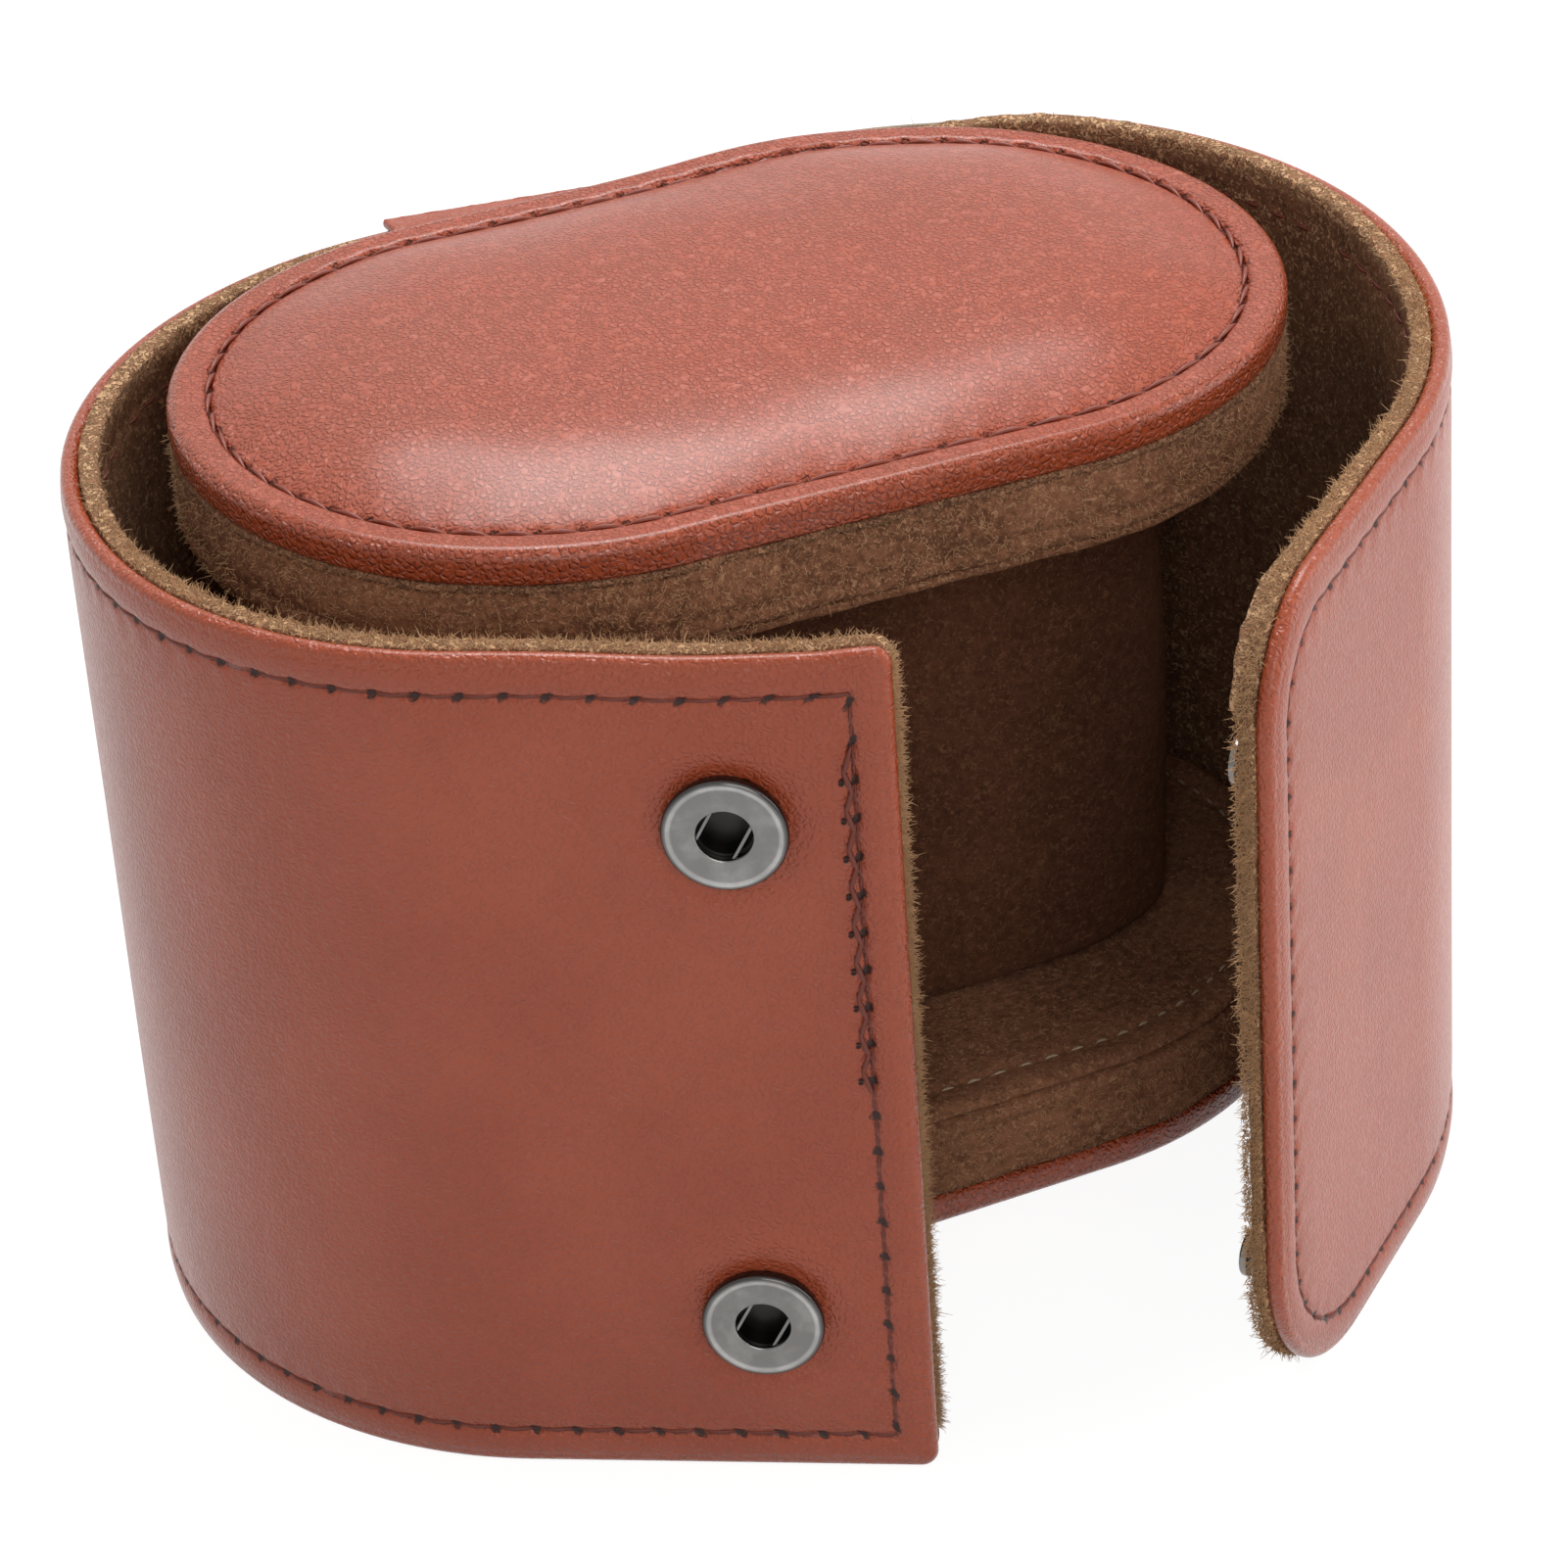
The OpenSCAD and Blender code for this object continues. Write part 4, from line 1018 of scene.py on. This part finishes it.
def make_pillow():
    """Oval suede column with a swelling wall and rounded ends. Its plan is a superellipse of the power 2.3,
    and each ring of its profile is drawn in and, on the ends, shrunk towards the middle."""
    turn = np.linspace(0, 2 * np.pi, 220)[None, :]
    power = 2 / 2.3
    base_x = np.sign(np.cos(turn)) * np.abs(np.cos(turn)) ** power
    base_y = np.sign(np.sin(turn)) * np.abs(np.sin(turn)) ** power
    height = PILLOW_HIGH - PILLOW_LOW
    end_inset = np.array([4.0, 4.0, 4.0, 2.2, 1.2, 0.5, 0.15])
    end_z = np.array([0.0, 0.0, 0.0, 0.05, 0.25, 0.7, 1.3])
    end_share = np.array([0.0, 0.4, 0.8, 1, 1, 1, 1])
    wall = np.linspace(0, 1, 26)[1:-1]
    inset = np.concatenate([end_inset, np.zeros(len(wall)), end_inset[::-1]])[:, None]
    share = np.concatenate([end_share, np.ones(len(wall)), end_share[::-1]])[:, None]
    z = np.concatenate([end_z, wall * height, height - end_z[::-1]])[:, None]
    t = z / height
    swell = 0.8 * np.sin(np.pi * t)
    crease = 0.18 * np.sin(turn * 9 + 1) * np.sin(turn * 4) * (bump(t, 0.12) + bump(t - 1, 0.12))
    grow = swell + crease - inset
    x = base_x * (PILLOW_A + grow) * share
    y = base_y * (PILLOW_B + grow) * share
    c, s = math.cos(PILLOW_TURN), math.sin(PILLOW_TURN)
    points = spread(1 + x * c - y * s, PAD_Y + x * s + y * c, PILLOW_LOW + z)
    uv = spread(turn * 10, 6 + 0 * z)
    # The pillow wears the suede copy that is darkened as painted shade.
    pillow = add_surface("pillow_suede", points, shade_painted_suede, uv, weld=True)
    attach(pillow, "pillow")
    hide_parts("pillow_cover", "pillow_ends")


make_pillow()


# The snap fasteners

def lathe(name, profile, places, finish, columns=72):
    """Ring turned from a profile of (radius, height), once at each place (centre, across, up, out)."""
    profile = np.asarray(profile, float)
    turn = np.linspace(0, 2 * np.pi, columns + 1)[None, :]
    rings = []
    for centre, across, up, out in places:
        radius, height = profile[:, :1], profile[:, 1:]
        flat = (radius * np.cos(turn))[..., None] * across + (radius * np.sin(turn))[..., None] * up
        rings.append(centre + flat + (height + 0 * turn)[..., None] * out)
    uv = spread(turn, profile[:, :1])
    made = [add_surface("ring", ring, finish, uv, flip=True, weld=True) for ring in rings]
    return join_pieces(name, made)


def snap_places(side, edge_in, depth, sign):
    """Frames of a flap's two snaps, with the last direction pointing out of the face."""
    u = side.sign * (side.end - edge_in)
    _, _, out_x, out_y = plan(u)
    out = np.array([float(out_x), float(out_y), 0.0]) * sign
    up = np.array([0.0, 0.0, 1.0])
    across = np.cross(up, out)
    return [(on_wrap(u, z, depth), across, up, out) for z in (SNAP_RIM, HEIGHT - SNAP_RIM)]


def make_snaps():
    """Socket rings with a rolled rim and a dished face. The springs, eyelets, studs and rivets stay as
    built."""
    profile = [(2.45, 0.35), (2.43, 0.75), (2.45, 0.95), (2.52, 1.05), (2.65, 1.08), (2.8, 1.03), (3.1, 0.98),
               (3.6, 0.93), (4.1, 0.93), (4.5, 0.98), (4.75, 1.05), (4.95, 1.1), (5.15, 1.08), (5.32, 0.98),
               (5.42, 0.82), (5.45, 0.6), (5.43, 0.35), (5.38, 0.1), (5.3, -0.25)]
    rings = lathe("socket_faces", profile, snap_places(LEFT, SOCKET_IN, 0.0, 1), metal)
    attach(rings, "left_flap")
    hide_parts("socket_rings")


make_snaps()


# Loose fibres of the cut suede

FIBRE_R = 0.058
FIBRES_A_MM = 46
RING_FIBRES = 6500


def add_fibres(name, roots, outward, length, finish, seed, spread=0.8):
    """Short bent strands that taper from their roots, each a parabola drawn at random from the seed."""
    draw = np.random.default_rng(seed)
    count = len(roots)
    lean = outward + spread * draw.normal(size=(count, 3))
    lean /= np.linalg.norm(lean, axis=1, keepdims=True)
    curl = 0.5 * draw.normal(size=(count, 3))
    size = length * draw.uniform(0.3, 1.0, size=(count, 1))
    t = np.linspace(0, 1, 4)[None, :, None]
    lines = roots[:, None] + (lean * size)[:, None] * t + (curl * size)[:, None] * t ** 2
    radii = np.broadcast_to(FIBRE_R * (1 - 0.75 * t[..., 0]), (count, 4))
    return add_tubes(name, lines, radii, finish, sides=3, up=(0.3, 0.5, 0.8))


def wrap_fibres():
    """Fibres along the lining's top edge and free edges."""
    draw = np.random.default_rng(7)
    u = draw.uniform(-LEFT.back, RIGHT.back, int((LEFT.back + RIGHT.back) * FIBRES_A_MM))
    add_edge_fibres("back_fibres", draw, u, np.full(len(u), HEIGHT - LINING_IN))
    for side in (LEFT, RIGHT):
        for fold, body in enumerate(side.bodies[1:]):
            start = side.back + side.cuts[fold]
            end = side.back + side.cuts[fold + 1] if fold < 2 else side.end - side.top_r
            number = int((end - start) * FIBRES_A_MM)
            u = side.sign * draw.uniform(start, end, number)
            z = np.full(number, HEIGHT - LINING_IN)
            if fold == 2:
                shape = FlapMap(side, LINING_IN)
                ring_u, ring_z = shape.ring(np.zeros((1, len(shape.count))))
                corners = shape.count[[shape.RIM_COLUMNS, -shape.RIM_COLUMNS]]
                pick = draw.uniform(*corners, RING_FIBRES)
                u = np.concatenate([u, side.sign * np.interp(pick, shape.count, ring_u[0])])
                z = np.concatenate([z, np.interp(pick, shape.count, ring_z[0])])
                u, z = u[z > 3], z[z > 3]
            add_edge_fibres(f"{body}_fibres", draw, u, z, (side, fold))


def add_edge_fibres(name, draw, u, z, bend=None):
    """Fibres rooted across the cut edge's thickness, pointing away from the sheet. A bend is the side and the
    fold of the stretch they lie on, and only has their transform baked in. Without one they ride the back."""
    depth = EDGE + draw.uniform(0.1, LINING, len(u))
    roots = on_wrap(u, z, depth)
    _, _, out_x, out_y = plan(u)
    side_end = np.where(u < 0, LEFT.end, RIGHT.end)
    near = bump(side_end - np.abs(u), 3.0)
    along = np.stack([out_y * np.sign(u), -out_x * np.sign(u), 0 * u], -1)
    above = z - HEIGHT / 2
    upward = np.stack([0 * u, 0 * u, np.where(np.abs(above) > 39, np.sign(above), 0)], -1)
    inward = -np.stack([out_x, out_y, 0 * u], -1) * draw.uniform(0, 1, len(u))[:, None]
    outward = along * near[:, None] + upward + 0.5 * inward
    piece = add_fibres(name, roots - 0.15 * upward, outward, 0.75, fibre, len(u))
    if bend:
        bend_piece(piece, *bend)
    else:
        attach(piece, "back")


def pad_fibres(word, place, number, seed):
    """Nap of a pad's suede band."""
    draw = np.random.default_rng(seed)
    x, out_x, out_y, length = pad_around(600, 900)
    at = draw.uniform(0, length[-1], number)
    x, out_x, out_y = (np.interp(at, length, values) for values in (x, out_x, out_y))
    down = draw.uniform(0.2, PAD_BAND, number)
    radius = PAD_R - 0.25
    roots = np.stack([x + radius * out_x, radius * out_y, -PAD_EDGE - down], -1)
    tips = roots + np.stack([0.5 * out_x, 0.5 * out_y, np.where(down < 0.7, 0.4, -0.1)], -1)
    roots, tips = place(roots), place(tips)
    piece = add_fibres(f"{word}_pad_nap", roots, tips - roots, 0.65, fibre, seed, 0.6)
    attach(piece, f"{word}_pad")


wrap_fibres()
pad_fibres("top", place_top, 10500, 11)
pad_fibres("bottom", place_bottom, 7500, 12)


# Finishes of the nodes that stay as built

KEPT = {"board": board, "foam": foam, "core": foam, "rivets": metal, "heads": metal, "springs": metal,
        "eyelets": shaded_metal}


def dress_nodes():
    """Each node that still shows gets the finish that its name ends with."""
    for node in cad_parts:
        finish = KEPT.get(node.rsplit("_", 1)[-1])
        thing = bpy.data.objects.get(node)
        if finish and thing:
            thing.data.materials.clear()
            thing.data.materials.append(finish)


dress_nodes()


# Stage and light

FLOOR_HALF = 4000.0
FLOOR_Z = -0.02


def make_stage():
    """Floor that the camera sees as white, with the case's soft shadow. Under the case's left half it throws
    back less light than under its right half."""
    corners = np.array([[-1, -1], [1, -1], [1, 1], [-1, 1]]) * FLOOR_HALF
    finish = Finish("pale_floor", Roughness=0.9, Emission_Strength=1.0)
    seen = finish.seen()
    bounce = finish.mix(finish.ramp(finish.axis(finish.place, 0), -0.02, 0.12), (0.5, 0.49, 0.48, 1.0),
                        (0.95, 0.95, 0.95, 1.0))
    finish.set("Base Color", finish.mix(seen, bounce, (0.14, 0.14, 0.14, 1.0)))
    finish.set("Emission Color", finish.mix(seen, (0.0, 0.0, 0.0, 1.0), (0.93, 0.93, 0.93, 1.0)))
    floor = add_piece("floor", np.insert(corners, 2, FLOOR_Z, axis=1), [[0, 1, 2, 3]], finish.material)


def make_world():
    """Plain pale surroundings, brighter towards +Y, and seen as white by the camera and in metal."""
    world = bpy.data.worlds.new("studio")
    bpy.context.scene.world = world
    world.use_nodes = True
    world.node_tree.nodes.clear()
    graph = Graph(world.node_tree)
    where = graph.axis(graph.node("TexCoord", {}, {}, "Generated"), 1)
    strength = graph.node("MapRange", {}, {"Value": where, "From Min": -0.5, "From Max": 0.6, "To Min": 0.26,
                                           "To Max": 0.62}, "Result")
    soft = graph.node("Background", {}, {"Color": (1.0, 0.99, 0.97, 1.0), "Strength": strength})
    white = graph.node("Background", {}, {"Strength": 1.0})
    graph.node("OutputWorld", {}, {0: graph.node("MixShader", {}, {0: graph.seen(), 1: soft, 2: white})})


def add_lamp(name, place, target, size, power, colour=(1, 1, 1)):
    """Square area lamp that faces its target."""
    data = bpy.data.lights.new(name, "AREA")
    data.shape = "SQUARE"
    data.size = size
    data.energy = power
    data.color = colour
    lamp = add_object(name, data)
    back = (np.array(place) - np.array(target)).astype(float)
    back /= np.linalg.norm(back)
    right = np.cross((0, 0, 1), back)
    right /= np.linalg.norm(right)
    up = np.cross(back, right)
    turn = Matrix((right, up, back)).transposed().to_4x4()
    turn.translation = place
    lamp.matrix_world = turn


make_stage()
make_world()
add_lamp("key", (0.2, 0.4, 0.92), (0, -0.04, 0.05), 0.42, 7.3)
add_lamp("fill", (0.75, -0.35, 0.4), (0, -0.04, 0.04), 0.6, 3.0)
add_lamp("front", (-0.2, -0.9, 0.6), (0, -0.05, 0.04), 0.6, 3.0, (1.0, 0.97, 0.94))
bpy.context.scene.view_settings.view_transform = "Standard"
